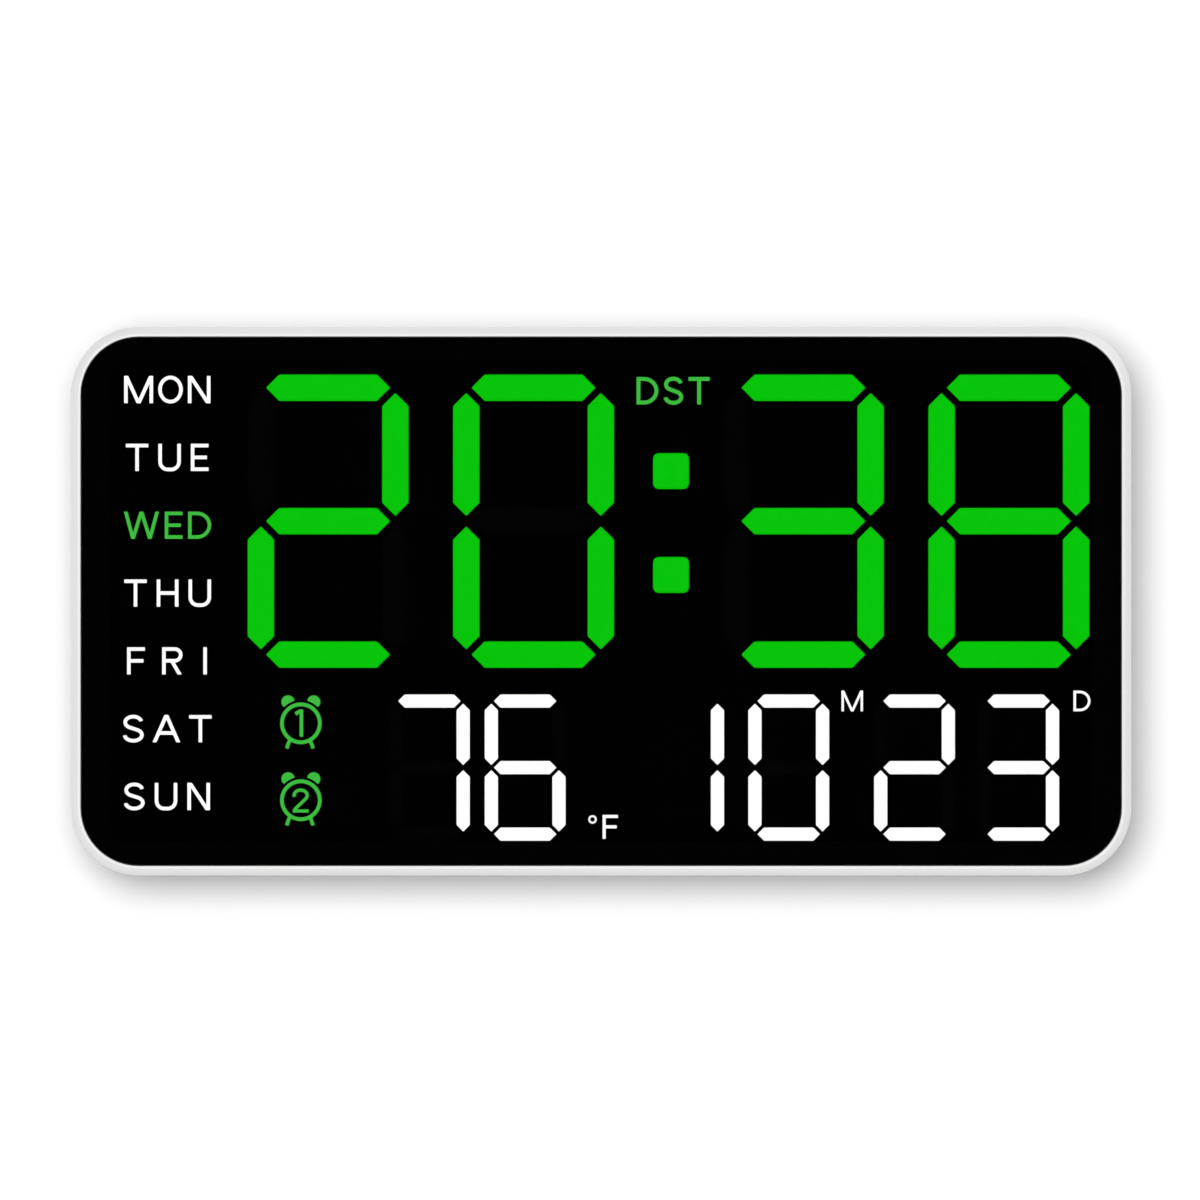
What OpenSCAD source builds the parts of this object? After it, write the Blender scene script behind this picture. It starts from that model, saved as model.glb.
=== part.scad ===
// Slim digital wall and desk clock with a large segment display.
// Millimetres, +Z up. The display faces -Y and the wall side faces +Y.
// The origin is the middle of the flat underside.

/* [Case] */
// Width of the case
body_w = 290; // [260:1:340]
// Height of the case
body_h = 150; // [135:1:190]
// Depth of the case, from the rim to the back
body_d = 28; // [27:0.5:36]
// Outer corner radius, seen from the front
corner_r = 18.5; // [16:0.5:26]
// Wall thickness of both case halves
wall = 2; // [1.6:0.1:2.3]
// Depth of the front half, from the rim to the parting line
frame_d = 18; // [16:0.5:20]
// Width of the crowned bevel round the rim
front_edge = 1.9; // [1.2:0.1:2.2]
// Radius of that bevel's crown
front_crown_r = 10; // [2.4:0.2:16]
// Width of the rounded edge at the back
rear_edge = 2.5; // [1.5:0.1:2.8]
// Radius of that rounding
rear_crown_r = 3; // [2.9:0.1:6]
// Chamfer beside the parting line
parting_chamfer = 0.3; // [0.1:0.05:0.5]
// Thickness of the tongue that locates the two halves
tongue_t = 1.2; // [0.8:0.1:1.4]
// Length of that tongue
tongue_l = 1.6; // [1:0.1:2]
// Play between pieces that fit together
fit_gap = 0.15; // [0.1:0.01:0.2]

/* [Window] */
// Width of the rim beside the window
rim_w = 2.7; // [2.6:0.1:3.6]
// Thickness of the window
lens_t = 2; // [1.5:0.1:2.5]
// Depth of the window below the rim
lens_sink = 0.3; // [0.1:0.05:0.6]
// Chamfer on the window's front edge
lens_chamfer = 0.3; // [0.1:0.05:0.6]
// Thickness of the ledge that carries the window
ledge_t = 2; // [1.6:0.1:2.6]
// Thickness of the adhesive frame under the window
tape_t = 0.3; // [0.2:0.05:0.6]
// Distance of the adhesive frame from the edges that it joins
tape_inset = 0.5; // [0.2:0.1:1]
// Thickness of the black mask
film_t = 0.25; // [0.1:0.05:0.4]
// Air between the window and the mask
film_gap = 0.4; // [0.2:0.1:1]
// Play round the mask in the ledge
film_play = 0.3; // [0.1:0.1:0.5]

/* [Light box and board] */
// Dark margin left and right of the marks
margin_x = 8.4; // [7.6:0.1:10]
// Dark margin above and below the marks
margin_z = 6.8; // [6.6:0.1:9]
// Wall of the light box outside the outermost marks
box_wall = 1.2; // [0.8:0.1:1.6]
// Gap between the light box and the ledge
box_gap = 0.8; // [0.5:0.1:1]
// Corner radius of the light box
box_corner_r = 6; // [3:0.5:8]
// Depth of the light box
box_d = 7; // [6.4:0.1:9]
// Thickness of a segment's diffuser
insert_t = 1.5; // [1:0.1:2]
// Edge of a diffuser that the mask covers
insert_margin = 0.15; // [0.1:0.01:0.2]
// Play round a diffuser
insert_gap = 0.05; // [0.02:0.01:0.08]
// Width of the seat below a diffuser, inside its window
seat_w = 0.4; // [0.2:0.05:0.6]
// Thickness of the circuit board
board_t = 1.6; // [1:0.1:2]
// Thickness of the ears that carry the light box
ear_t = 2; // [1.6:0.1:2.6]
// Radius of the round end of an ear
ear_r = 2.6; // [2.4:0.1:2.7]
// Height of the posts under the ears
ear_post_l = 2.4; // [1.6:0.1:3.2]

/* [Time digits] */
// Thickness of a segment
seg_t = 7.2; // [5:0.1:7.6]
// Space from a segment's tip to the crossing of the axes
seg_tip = 1.45; // [1.1:0.05:2.2]
// Gap between the weekdays and the first digit
time_gap = 9.1; // [7:0.1:12]
// Gap between the two digits of a pair
digit_gap = 12.2; // [9:0.1:15]
// Gap between the pairs, across the colon
pair_gap = 29.8; // [26:0.1:34]
// Gap between the last digit and the right end of the marks
time_end_gap = 0.4; // [0.3:0.1:2]
// Gap between the digits and the upper end of the marks
time_top_gap = 3.5; // [1:0.1:5]
// Gap between the time and the small digits below it
row_gap = 7.3; // [5:0.1:10]
// Width of a colon dot
colon_size = 9.8; // [7:0.1:11]
// Corner radius of a colon dot
colon_r = 1.6; // [0.8:0.1:3]
// Colon dots above and below their centre
colon_rise = 14.2; // [11:0.1:18]
// Colon's shift to the right of the middle between the pairs
colon_shift = 0.7; // [0:0.1:2]
// Colon's centre below the middle row
colon_drop = 0.5; // [0:0.1:2]

/* [Small digits] */
// Distance between two rows of small segments
small_rise = 18.2; // [16:0.1:20]
// Thickness of a small segment
small_seg_t = 3.6; // [2.8:0.1:3.8]
// Space from a small segment's tip to the crossing of the axes
small_seg_tip = 0.72; // [0.6:0.02:1.2]
// Gap between the temperature digits
temperature_gap = 4.1; // [3:0.1:6]
// Gap between the temperature's unit and the month
month_lead_gap = 23.7; // [18:0.1:26]
// Gap between the month's two digits
month_gap = 6.65; // [4:0.05:8]
// Gap between the month and the day
date_gap = 12.3; // [11:0.1:14]
// Gap between the day digits
day_gap = 6.4; // [4:0.1:8]
// Gap between the last day digit and the right end of the marks
day_end_gap = 8.65; // [7:0.05:10]

/* [Words and signs] */
// Width of a weekday's cell
weekday_cell_w = 25.6; // [24.6:0.1:26]
// Height of a weekday's cell
weekday_cell_h = 10; // [9:0.1:12]
// Weekday column's centre, from the left end of the marks
weekday_inset = 15.3; // [14:0.1:16]
// First weekday's centre, from the upper end of the marks
weekday_drop = 7.7; // [6:0.1:8]
// Last weekday's centre, from the lower end of the marks
weekday_low = 12; // [6:0.1:14]
// Width of the cell above the colon
top_cell_w = 22; // [20.5:0.1:23]
// Height of the cell above the colon
top_cell_h = 9.6; // [8:0.1:11]
// That cell's centre, from the upper end of the marks
top_cell_drop = 8.1; // [6:0.1:8.4]
// Width of an alarm sign's cell
alarm_cell_w = 13; // [12:0.1:14]
// Height of an alarm sign's cell
alarm_cell_h = 16; // [15:0.1:18]
// Gap between the weekdays and the alarm signs
alarm_gap = 17.3; // [12:0.1:20]
// Gap between the alarm signs and the temperature
alarm_end_gap = 17.45; // [12:0.05:20]
// Lower alarm sign's centre, from the lower end of the marks
alarm_low = 10.9; // [9.5:0.1:12]
// Distance between the alarm signs
alarm_pitch = 21; // [19.5:0.1:22]
// Width of the temperature unit's cell
unit_cell_w = 12; // [10:0.1:14]
// Height of the temperature unit's cell
unit_cell_h = 8.8; // [8:0.1:9.4]
// Gap between the temperature and its unit
unit_gap = 4.05; // [2:0.05:6]
// Unit's centre, from the lower end of the marks
unit_low = 4.5; // [4.3:0.1:6]
// Width of the month letter's cell
month_cell_w = 8; // [7:0.1:9]
// Width of the day letter's cell
day_cell_w = 5.4; // [5:0.1:5.6]
// Height of the month and day letters' cells
letter_cell_h = 7.6; // [7:0.1:9]
// Day letter's centre, from the right end of the marks
day_cell_inset = 2.5; // [2.4:0.1:3]
// Corner radius of these cells
cell_corner_r = 1.6; // [1:0.1:2]

/* [Shown values] */
// Hour on the display
shown_hour = 20; // [0:1:23]
// Minute on the display
shown_minute = 38; // [0:1:59]
// Temperature on the display
shown_temperature = 76; // [10:1:99]
// Month on the display
shown_month = 10; // [10:1:12]
// Day on the display
shown_day = 23; // [1:1:31]

/* [Screws] */
// Radius of a screw's shank
screw_r = 1; // [0.8:0.05:1.1]
// Radius of a screw's head
screw_head_r = 1.9; // [1.6:0.1:2]
// Height of a screw's head
screw_head_h = 1.4; // [1.2:0.1:1.8]
// Length of the cross in a screw's head
cross_l = 2.2; // [1.6:0.1:2.6]
// Width of that cross
cross_w = 0.5; // [0.4:0.05:0.7]
// Depth of that cross
cross_d = 0.8; // [0.5:0.1:1]
// Play of a screw in its pilot hole
pilot_gap = 0.05; // [0.02:0.01:0.08]
// Play of a screw in a clearance hole
screw_gap = 0.2; // [0.1:0.05:0.3]
// Room round a screw's head in its well
head_gap = 0.5; // [0.3:0.05:0.6]
// Wall round a pilot hole
boss_wall = 1.35; // [1:0.05:1.5]
// Wall round a screw well
well_wall = 1; // [0.8:0.1:1.2]
// Depth of a screw well
well_d = 5; // [4:0.1:6]
// Floor of a screw well
well_floor = 1.5; // [1.2:0.1:2]
// Flat between a screw well and the rounded rear edge
well_land = 0.3; // [0.1:0.05:0.4]
// Length of a case screw in the front half
case_grip = 6; // [4:0.5:8]
// Length of a light box screw in the front half
ear_grip = 3.6; // [2.5:0.1:3.8]
// Length of a board screw in the light box
board_grip = 4.2; // [3:0.1:4.6]
// Free depth at the end of a pilot hole
pilot_spare = 0.2; // [0.1:0.05:0.4]
// Case screws along the top and bottom, from the ends of the case
case_screw_inset = 30; // [25:1:40]
// Light box screws at the sides, from the middle
ear_screw_z = 40; // [25:1:46]
// Board screws on the left, from the middle
board_screw_z = 46; // [38:0.5:48]
// Board screw between the pairs, below the lowest segments' axis
board_screw_low = 1.5; // [-2.5:0.5:3.5]

/* [Wall hangers] */
// Distance between the two keyholes
hanger_spacing = 160; // [130:2:190]
// Keyhole's round entry, from the top of the case
hanger_drop = 28; // [26:1:34]
// Radius of the round entry
hanger_entry_r = 4.5; // [4:0.1:5]
// Half width of the slot above the entry
hanger_slot_r = 2.2; // [1.8:0.1:2.4]
// Height of the slot
hanger_slot_l = 9; // [7:0.5:10]
// Room behind the wall for the hook's head
hanger_room = 5; // [4:0.5:6]
// Room beside the hook's head
hanger_play = 0.8; // [0.5:0.1:1.2]
// Wall of the pockets inside the rear half
pocket_wall = 1.5; // [1.2:0.1:1.8]

/* [Buttons] */
// Distance between the buttons
button_pitch = 18; // [16:0.5:20]
// Row of buttons, from the top of the case
button_drop = 38; // [32:1:44]
// Radius of a button's cap
button_r = 4.5; // [3.8:0.1:5]
// Bevel on the cap's edge
button_bevel = 0.4; // [0.2:0.1:0.6]
// Height of the cap above the floor of its recess
button_proud = 1.3; // [0.9:0.1:1.4]
// Depth of the recess round the buttons
button_recess = 1.6; // [1.5:0.1:2]
// Margin of that recess round the outer caps
button_margin = 3.5; // [2:0.5:5]
// Flange that holds the cap in, beyond its radius
flange_w = 1.1; // [0.8:0.1:1.4]
// Thickness of that flange
flange_t = 1; // [0.8:0.1:1.4]
// Radius of the stem that works the switch
stem_r = 1.8; // [1.4:0.1:2]
// Travel of a button
button_travel = 0.6; // [0.3:0.05:0.8]
// Width of a switch body
switch_w = 6; // [5:0.1:7]
// Height of a switch body
switch_h = 3.5; // [3:0.1:4]
// Radius of a switch plunger
plunger_r = 1.7; // [1.4:0.1:2]
// Play round a switch plunger
plunger_gap = 0.1; // [0.05:0.01:0.2]
// Height of the plunger above the switch body
plunger_proud = 1.5; // [1:0.1:2]
// Length of the plunger inside the switch body
plunger_in = 0.9; // [0.6:0.1:1.2]
// Free depth below the pressed plunger
plunger_spare = 0.2; // [0.1:0.05:0.4]

/* [Stand] */
// Width of the fold-out leg
stand_w = 60; // [46:1:70]
// Height of the leg's hinge
hinge_z = 72; // [60:1:80]
// Height of the folded leg's end above the underside
stand_end = 0.8; // [0.4:0.1:2]
// Thickness of the leg
stand_t = 4; // [3.4:0.1:4.4]
// Depth of the folded leg below the back
stand_sink = 0.4; // [0.2:0.1:0.8]
// Length of the heel above the hinge
stand_heel = 3.5; // [3:0.1:4]
// Opening angle at which the heel lands
stand_open = 30; // [20:1:35]
// Gap left at the heel's landing
stand_land = 0.12; // [0.1:0.01:0.3]
// Gap beside the leg
stand_gap = 0.5; // [0.3:0.1:0.8]
// Gap above the turning heel
stand_head_gap = 0.4; // [0.3:0.05:0.8]
// Radius of the leg's lower corners
stand_corner_r = 6; // [3:0.5:10]
// Depth of the sunk field on the leg's face
stand_field_d = 0.8; // [0.4:0.1:1.2]
// Border round the sunk field
stand_border = 6; // [5:0.5:9]
// Corner radius of the sunk field
stand_field_r = 3; // [2:0.5:5]
// Radius of the hinge pins
pin_r = 1.5; // [1.2:0.05:1.6]
// Play round a hinge pin
pin_gap = 0.06; // [0.03:0.01:0.1]
// Length of a hinge pin in the case
pin_l = 2.4; // [2:0.1:3]
// Wall behind a hinge pin
pin_wall = 0.8; // [0.6:0.1:1.2]

/* [Back-up cell] */
// Cell's centre, from the left end of the case
cell_inset = 50; // [45:1:75]
// Height of the cell's centre
cell_z = 42; // [36:1:60]
// Radius of the cell
cell_r = 10; // [9.5:0.1:10.5]
// Thickness of the cell
cell_t = 3.2; // [2.4:0.1:3.4]
// Radius of the cell's raised pole
cell_pole_r = 8.8; // [8:0.1:9]
// Height of the raised pole
cell_pole_h = 0.3; // [0.2:0.05:0.4]
// Room beside the cell for its side contact
cell_room = 0.8; // [0.75:0.05:1.2]
// Room below the cell for its spring
cell_spring_h = 0.8; // [0.7:0.05:1.2]
// Width of the cap's rim beyond the cell's bore
cap_rim = 2; // [1.9:0.1:2.6]
// Thickness of the cap's disc
cap_t = 2.2; // [1.8:0.1:2.6]
// Depth of the cap below the back
cap_sink = 0.2; // [0.1:0.05:0.4]
// Play between the cap's ring and the cell's bore
cap_play = 0.3; // [0.2:0.05:0.4]
// Depth of the cap's ring
cap_ring_l = 3; // [2.8:0.1:3.6]
// Wall of the cap's ring
cap_ring_t = 2; // [1.4:0.1:2.4]
// Reach of the cap's two lugs into the groove
lug_reach = 1.2; // [0.9:0.05:1.3]
// Width of a lug
lug_w = 6; // [4:0.5:7]
// Thickness of a lug
lug_t = 1.2; // [0.9:0.1:1.3]
// Play round a lug
lug_play = 0.25; // [0.15:0.05:0.3]
// Turn that brings the lugs to their way out
cap_turn = 55; // [45:1:75]
// Length of the coin slot in the cap
coin_slot_l = 16; // [12:0.5:18]
// Width of the coin slot
coin_slot_w = 1.8; // [1.4:0.1:2.4]
// Depth of the coin slot
coin_slot_d = 1.2; // [0.8:0.1:1.4]
// Thickness of the contact strips
strip_t = 0.4; // [0.3:0.02:0.5]
// Width of the contact strips
strip_w = 3.6; // [2.4:0.1:3.6]
// Length of the spring strip under the cell
spring_l = 13; // [10:0.5:15]
// Radius of the spring's contact point
spring_dot_r = 1.6; // [1:0.1:1.7]
// Length of the contact tails below the cell's cup
tail_l = 1.4; // [1:0.1:2]
// Radius of the wires inside the case
wire_r = 0.7; // [0.5:0.05:0.9]
// Gap between the side contact and the cell
strip_gap = 0.05; // [0.02:0.01:0.1]

/* [Power inlet] */
// Inlet's centre, from the right end of the case
inlet_inset = 45; // [43:1:70]
// Width of the pocket for the plug
inlet_w = 18; // [15:0.5:20]
// Height of the pocket for the plug
inlet_h = 20; // [16:0.5:24]
// Lower end of that pocket
inlet_z = 12; // [10:0.5:16]
// Inlet's axis, from the back
inlet_axis = 7; // [6.8:0.1:7.4]
// Gap between the pocket and the circuit board
inlet_clear = 2.45; // [2:0.05:3]
// Width of the slot that lets the cable out below
cable_slot_w = 7; // [5:0.5:9]
// Depth of that slot
cable_slot_d = 7; // [5:0.5:8]
// Width and depth of the inlet's body
jack_w = 9; // [8.6:0.1:9.4]
// Height of the inlet's body
jack_h = 12; // [11:0.5:14]
// Radius of the inlet's nose
jack_nose_r = 4; // [3.6:0.1:4.2]
// Radius of the plug's hole
jack_bore_r = 2.85; // [2.6:0.05:3]
// Depth of the plug's hole
jack_bore_d = 9.5; // [8.5:0.5:10]
// Radius of the inlet's pin
jack_pin_r = 1.05; // [0.8:0.05:1.25]
// Depth of the pin's tip inside the hole
jack_pin_sink = 1; // [0.5:0.1:2]
// Length of the pin's tail above the body
jack_tail = 2; // [1:0.1:3]
// Sideways distance between the two supply wires
lead_pitch = 3; // [2.5:0.1:3.4]
// Straight rise of the supply wires above the pin
lead_rise = 4; // [3:0.5:6]
// Bend radius of the supply wires
lead_bend = 3; // [2:0.1:4]

/* [Electronics] */
// Width of a lamp on the board
led_w = 2; // [1.2:0.1:2]
// Height of a lamp on the board
led_h = 1.4; // [0.8:0.1:2]
// Distance between the two lamps of a large segment
led_pitch = 13; // [8:0.5:15]
// Distance between the two lamps of a word
word_led_pitch = 12; // [8:0.5:14]
// Width of the controller chip
controller_w = 12; // [9:0.5:14]
// Controller chip to the right of the middle
controller_x = -18; // [-22:1:-12]
// Chip row below the row of buttons
chip_drop = 20; // [18:0.5:24]
// Thickness of the chips
chip_t = 1.5; // [1:0.1:2.2]
// Length of a driver chip
driver_l = 17; // [12:0.5:20]
// Width of a driver chip
driver_w = 7.5; // [5:0.5:9]
// Driver chips from the middle
driver_x = 62; // [52:1:75]
// Reach of the chips' legs
leg_l = 1; // [0.6:0.1:1.4]
// Thickness of the chips' legs
leg_t = 0.3; // [0.2:0.05:0.5]
// Distance between the chips' legs
leg_pitch = 1.27; // [1:0.01:1.6]
// Length of the crystal's can
crystal_l = 10.5; // [8:0.1:12]
// Width of the crystal's can
crystal_w = 4.6; // [3.8:0.1:5]
// Height of the crystal's can
crystal_h = 3.4; // [2.8:0.1:4]
// Crystal to the right of the middle
crystal_x = 4; // [2:1:20]
// Radius of the supply capacitor
capacitor_r = 4; // [3:0.5:5]
// Height of the supply capacitor
capacitor_h = 9; // [6:0.5:10]
// Capacitor to the left of the inlet
capacitor_step = 16; // [12:1:20]
// Height of the capacitor's and the buzzer's centres
sound_z = 60; // [52:1:70]
// Radius of the buzzer
buzzer_r = 6; // [4.5:0.5:7]
// Height of the buzzer
buzzer_h = 9; // [6:0.5:9.5]
// Buzzer to the left of the capacitor
buzzer_step = 24; // [20:1:28]
// Radius of the buzzer's sound hole
buzzer_hole_r = 1; // [0.6:0.1:2]
// Depth of the buzzer's sound hole
buzzer_hole_d = 2; // [1:0.5:3]
// Temperature probe to the right of the cell
probe_step = 35; // [30:1:41]
// Height of the probe
probe_z = 19; // [17:0.5:21]
// Radius of the probe's bead
probe_r = 1.5; // [1:0.1:2]
// Gap between the bead and the rear wall
probe_gap = 2; // [1:0.5:4]
// Radius of the probe's wires
probe_wire_r = 0.3; // [0.2:0.05:0.4]
// Width of the vent and sound slots
slot_w = 2; // [1.2:0.1:2.4]
// Length of the vent and sound slots
slot_l = 14; // [10:0.5:16]
// Distance between the slots
slot_pitch = 5; // [4:0.1:5.5]
// Number of slots in a group
slot_count = 5; // [3:2:5]
// Bare sunk panel's centre, from the right end of the case
panel_inset = 50; // [47:1:60]
// Height of the sunk panel's centre, from the top of the case
panel_drop = 59; // [54:1:64]
// Width of the sunk panel
panel_w = 52; // [40:1:56]
// Height of the sunk panel
panel_h = 24; // [18:1:26]
// Depth of the sunk panel
panel_d = 0.4; // [0.2:0.1:0.6]
// Corner radius of the sunk panel
panel_r = 2; // [1:0.5:4]

/* [Hidden] */
$fn = 48;
eps = 1;
// Strip of the outer edge that is carried round the case
edge_band = 6;

// Levels from the front to the back
y_front = -body_d / 2;
y_back = body_d / 2;
y_lens_front = y_front + lens_sink;
y_lens_back = y_lens_front + lens_t;
y_ledge_front = y_lens_back + tape_t;
y_ledge_back = y_ledge_front + ledge_t;
y_film_front = y_lens_back + film_gap;
y_box_front = y_film_front + film_t;
y_insert_back = y_box_front + insert_t;
y_box_back = y_box_front + box_d;
y_board_back = y_box_back + board_t;
y_ear_front = y_ledge_back + ear_post_l;
y_ear_back = y_ear_front + ear_t;
y_part = y_front + frame_d;
y_in = y_back - wall;
y_well = y_back - well_d;
y_post = y_part - tongue_l - pilot_spare;

// Outlines
mid_z = body_h / 2;
lens_w = body_w - 2 * rim_w;
lens_h = body_h - 2 * rim_w;
lens_r = corner_r - rim_w;
recess_u = rim_w - fit_gap;
show_w = lens_w - 2 * margin_x;
show_h = lens_h - 2 * margin_z;
show_left = -show_w / 2;
show_right = show_w / 2;
show_top = mid_z + show_h / 2;
show_bottom = mid_z - show_h / 2;
box_w = show_w + 2 * box_wall;
box_h = show_h + 2 * box_wall;
opening_w = box_w + 2 * box_gap;
opening_h = box_h + 2 * box_gap;
opening_r = box_corner_r + box_gap;

// Weekday column, from the upper to the lower end of the marks
WEEKDAYS = 7;
weekday_x = show_left + weekday_inset;
weekday_pitch = (show_h - weekday_drop - weekday_low) / (WEEKDAYS - 1);
weekday_end = weekday_x + weekday_cell_w / 2;

// The small digits share the width that the signs and gaps of their row leave
SMALL_DIGITS = 5;
small_h = 2 * small_rise + small_seg_t;
left_signs = alarm_gap + alarm_cell_w + alarm_end_gap + temperature_gap + unit_gap + unit_cell_w;
right_signs = month_lead_gap + small_seg_t + month_gap + date_gap + day_gap + day_end_gap;
small_span = (show_right - weekday_end - left_signs - right_signs) / SMALL_DIGITS;
small_w = small_span - small_seg_t;
small_row = show_bottom + small_seg_t / 2 + small_rise;
alarm_x = weekday_end + alarm_gap + alarm_cell_w / 2;
temperature_tens_x = alarm_x + alarm_cell_w / 2 + alarm_end_gap + small_span / 2;
temperature_ones_x = temperature_tens_x + small_span + temperature_gap;
unit_x = temperature_ones_x + small_span / 2 + unit_gap + unit_cell_w / 2;
month_column_x = unit_x + unit_cell_w / 2 + month_lead_gap + small_seg_t / 2;
month_ones_x = month_column_x + small_seg_t / 2 + month_gap + small_span / 2;
day_tens_x = month_ones_x + small_span + date_gap;
day_ones_x = day_tens_x + small_span + day_gap;
letter_z = small_row + small_rise;

// The time fills the room above the small digits, beside the weekdays
TIME_DIGITS = 4;
time_gaps = time_gap + 2 * digit_gap + pair_gap + time_end_gap;
digit_span = (show_right - weekday_end - time_gaps) / TIME_DIGITS;
digit_w = digit_span - seg_t;
digit_rise = (show_h - time_top_gap - row_gap - small_h - seg_t) / 2;
time_row = show_top - time_top_gap - seg_t / 2 - digit_rise;
hour_tens_x = weekday_end + time_gap + digit_span / 2;
hour_ones_x = hour_tens_x + digit_span + digit_gap;
minute_tens_x = hour_ones_x + digit_span + pair_gap;
minute_ones_x = minute_tens_x + digit_span + digit_gap;
colon_x = (hour_ones_x + minute_tens_x) / 2 + colon_shift;
colon_z = time_row - colon_drop;

// A digit's style: [width, row distance, segment thickness, tip space]
BIG = [digit_w, digit_rise, seg_t, seg_tip];
SMALL = [small_w, small_rise, small_seg_t, small_seg_tip];
// Segments that make each figure, in the order top, upper right, lower right, bottom, lower left,
// upper left and middle
FIGURES = [
    [0, 1, 2, 3, 4, 5], [1, 2], [0, 1, 3, 4, 6], [0, 1, 2, 3, 6], [1, 2, 5, 6],
    [0, 2, 3, 5, 6], [0, 2, 3, 4, 5, 6], [0, 1, 2], [0, 1, 2, 3, 4, 5, 6], [0, 1, 2, 3, 5, 6]
];
// The month's first digit has only the two segments of a one
ONE = FIGURES[1];
// Each digit: [node, centre x, middle row, style, figure, segments it has]
DIGITS = [
    ["hour_tens_digit", hour_tens_x, time_row, BIG, floor(shown_hour / 10), FIGURES[8]],
    ["hour_ones_digit", hour_ones_x, time_row, BIG, shown_hour % 10, FIGURES[8]],
    ["minute_tens_digit", minute_tens_x, time_row, BIG, floor(shown_minute / 10), FIGURES[8]],
    ["minute_ones_digit", minute_ones_x, time_row, BIG, shown_minute % 10, FIGURES[8]],
    ["temperature_tens_digit", temperature_tens_x, small_row, SMALL,
        floor(shown_temperature / 10), FIGURES[8]],
    ["temperature_ones_digit", temperature_ones_x, small_row, SMALL,
        shown_temperature % 10, FIGURES[8]],
    ["month_tens_digit", month_column_x - small_w / 2, small_row, SMALL, floor(shown_month / 10), ONE],
    ["month_ones_digit", month_ones_x, small_row, SMALL, shown_month % 10, FIGURES[8]],
    ["day_tens_digit", day_tens_x, small_row, SMALL, floor(shown_day / 10), FIGURES[8]],
    ["day_ones_digit", day_ones_x, small_row, SMALL, shown_day % 10, FIGURES[8]]
];

// Cells of the words and signs: [x, z, width, height]
WEEKDAY_CELLS = [
    for (i = [0 : WEEKDAYS - 1])
        [weekday_x, show_top - weekday_drop - i * weekday_pitch, weekday_cell_w, weekday_cell_h]
];
GREEN_CELLS = [
    [colon_x, show_top - top_cell_drop, top_cell_w, top_cell_h],
    [alarm_x, show_bottom + alarm_low, alarm_cell_w, alarm_cell_h],
    [alarm_x, show_bottom + alarm_low + alarm_pitch, alarm_cell_w, alarm_cell_h]
];
WHITE_CELLS = [
    [unit_x, show_bottom + unit_low, unit_cell_w, unit_cell_h],
    [(month_ones_x + day_tens_x) / 2, letter_z, month_cell_w, letter_cell_h],
    [show_right - day_cell_inset, letter_z, day_cell_w, letter_cell_h]
];
CELLS = concat(WEEKDAY_CELLS, GREEN_CELLS, WHITE_CELLS);

// Screws and their posts
pilot_r = screw_r + pilot_gap;
hole_r = screw_r + screw_gap;
boss_r = pilot_r + boss_wall;
well_r = screw_head_r + head_gap;
boss_inset = rear_edge + well_r + well_land;
side_x = body_w / 2 - boss_inset;
case_screw_x = body_w / 2 - case_screw_inset;
end_z = body_h / 2 - boss_inset;
CASE_POSTS = [
    for (s = [-1, 1], t = [-1, 1]) [s * case_screw_x, mid_z + t * end_z],
    for (s = [-1, 1]) [s * side_x, mid_z]
];
SIDE_EARS = [for (s = [-1, 1], t = [-1, 1]) [s * side_x, mid_z + t * ear_screw_z]];
END_EARS = [for (t = [-1, 1]) [0, mid_z + t * end_z]];
EAR_POSTS = concat(SIDE_EARS, END_EARS);
word_lane_x = weekday_end + time_gap / 2;
BOARD_POSTS = [
    [word_lane_x, mid_z + board_screw_z],
    [word_lane_x, mid_z - board_screw_z],
    [(hour_tens_x + hour_ones_x) / 2, time_row],
    [colon_x, time_row - digit_rise - board_screw_low],
    [(minute_tens_x + minute_ones_x) / 2, time_row + digit_rise / 2],
    [(minute_tens_x + minute_ones_x) / 2, time_row - digit_rise / 2]
];

// Wall hangers
hanger_z = body_h - hanger_drop;
hanger_half = hanger_entry_r + hanger_play;
y_hanger = y_in - hanger_room;

// Buttons
button_z = body_h - button_drop;
BUTTONS = ["set", "up", "down", "alarm", "dimmer"];
BUTTON_X = [for (i = [0 : len(BUTTONS) - 1]) (i - (len(BUTTONS) - 1) / 2) * button_pitch];
button_field_w = (len(BUTTONS) - 1) * button_pitch + 2 * (button_r + button_margin);
button_field_h = 2 * (button_r + button_margin);
y_button_floor = y_back - button_recess;
y_button_in = y_button_floor - wall;
y_flange = y_button_in - flange_t;
y_switch = y_board_back + switch_h;
y_plunger = y_switch + plunger_proud;

// Stand
y_hinge = y_back - stand_sink - stand_t / 2;
y_stand = y_hinge - stand_t / 2;
y_stand_floor = y_hinge - stand_t / 2 * cos(stand_open) - stand_heel * sin(stand_open) - stand_land;
stand_half = stand_w / 2 + stand_gap;
stand_side = pin_l + pin_wall;
stand_top = hinge_z + norm([stand_heel, stand_t / 2]) + stand_head_gap;
stand_l = hinge_z + stand_heel - stand_end;

// Back-up cell
cell_x = cell_inset - body_w / 2;
cell_bore_r = cell_r + cell_room;
cap_r = cell_bore_r + cap_rim;
cap_ring_r = cell_bore_r - cap_play;
lug_r = cell_bore_r + lug_reach;
groove_r = lug_r + lug_play;
cup_r = groove_r + pocket_wall;
y_cap_out = y_back - cap_sink;
y_cap_in = y_cap_out - cap_t;
y_ring_in = y_cap_in - cap_ring_l;
y_cell_out = y_ring_in - cap_play;
y_cell_in = y_cell_out - cell_t;
y_cup = y_cell_in - cell_spring_h;
y_tail = y_cup - pocket_wall - tail_l;
plus_x = cell_x + cell_r + strip_gap + strip_t / 2;
minus_x = cell_x - spring_l / 2 + strip_t / 2;

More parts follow.
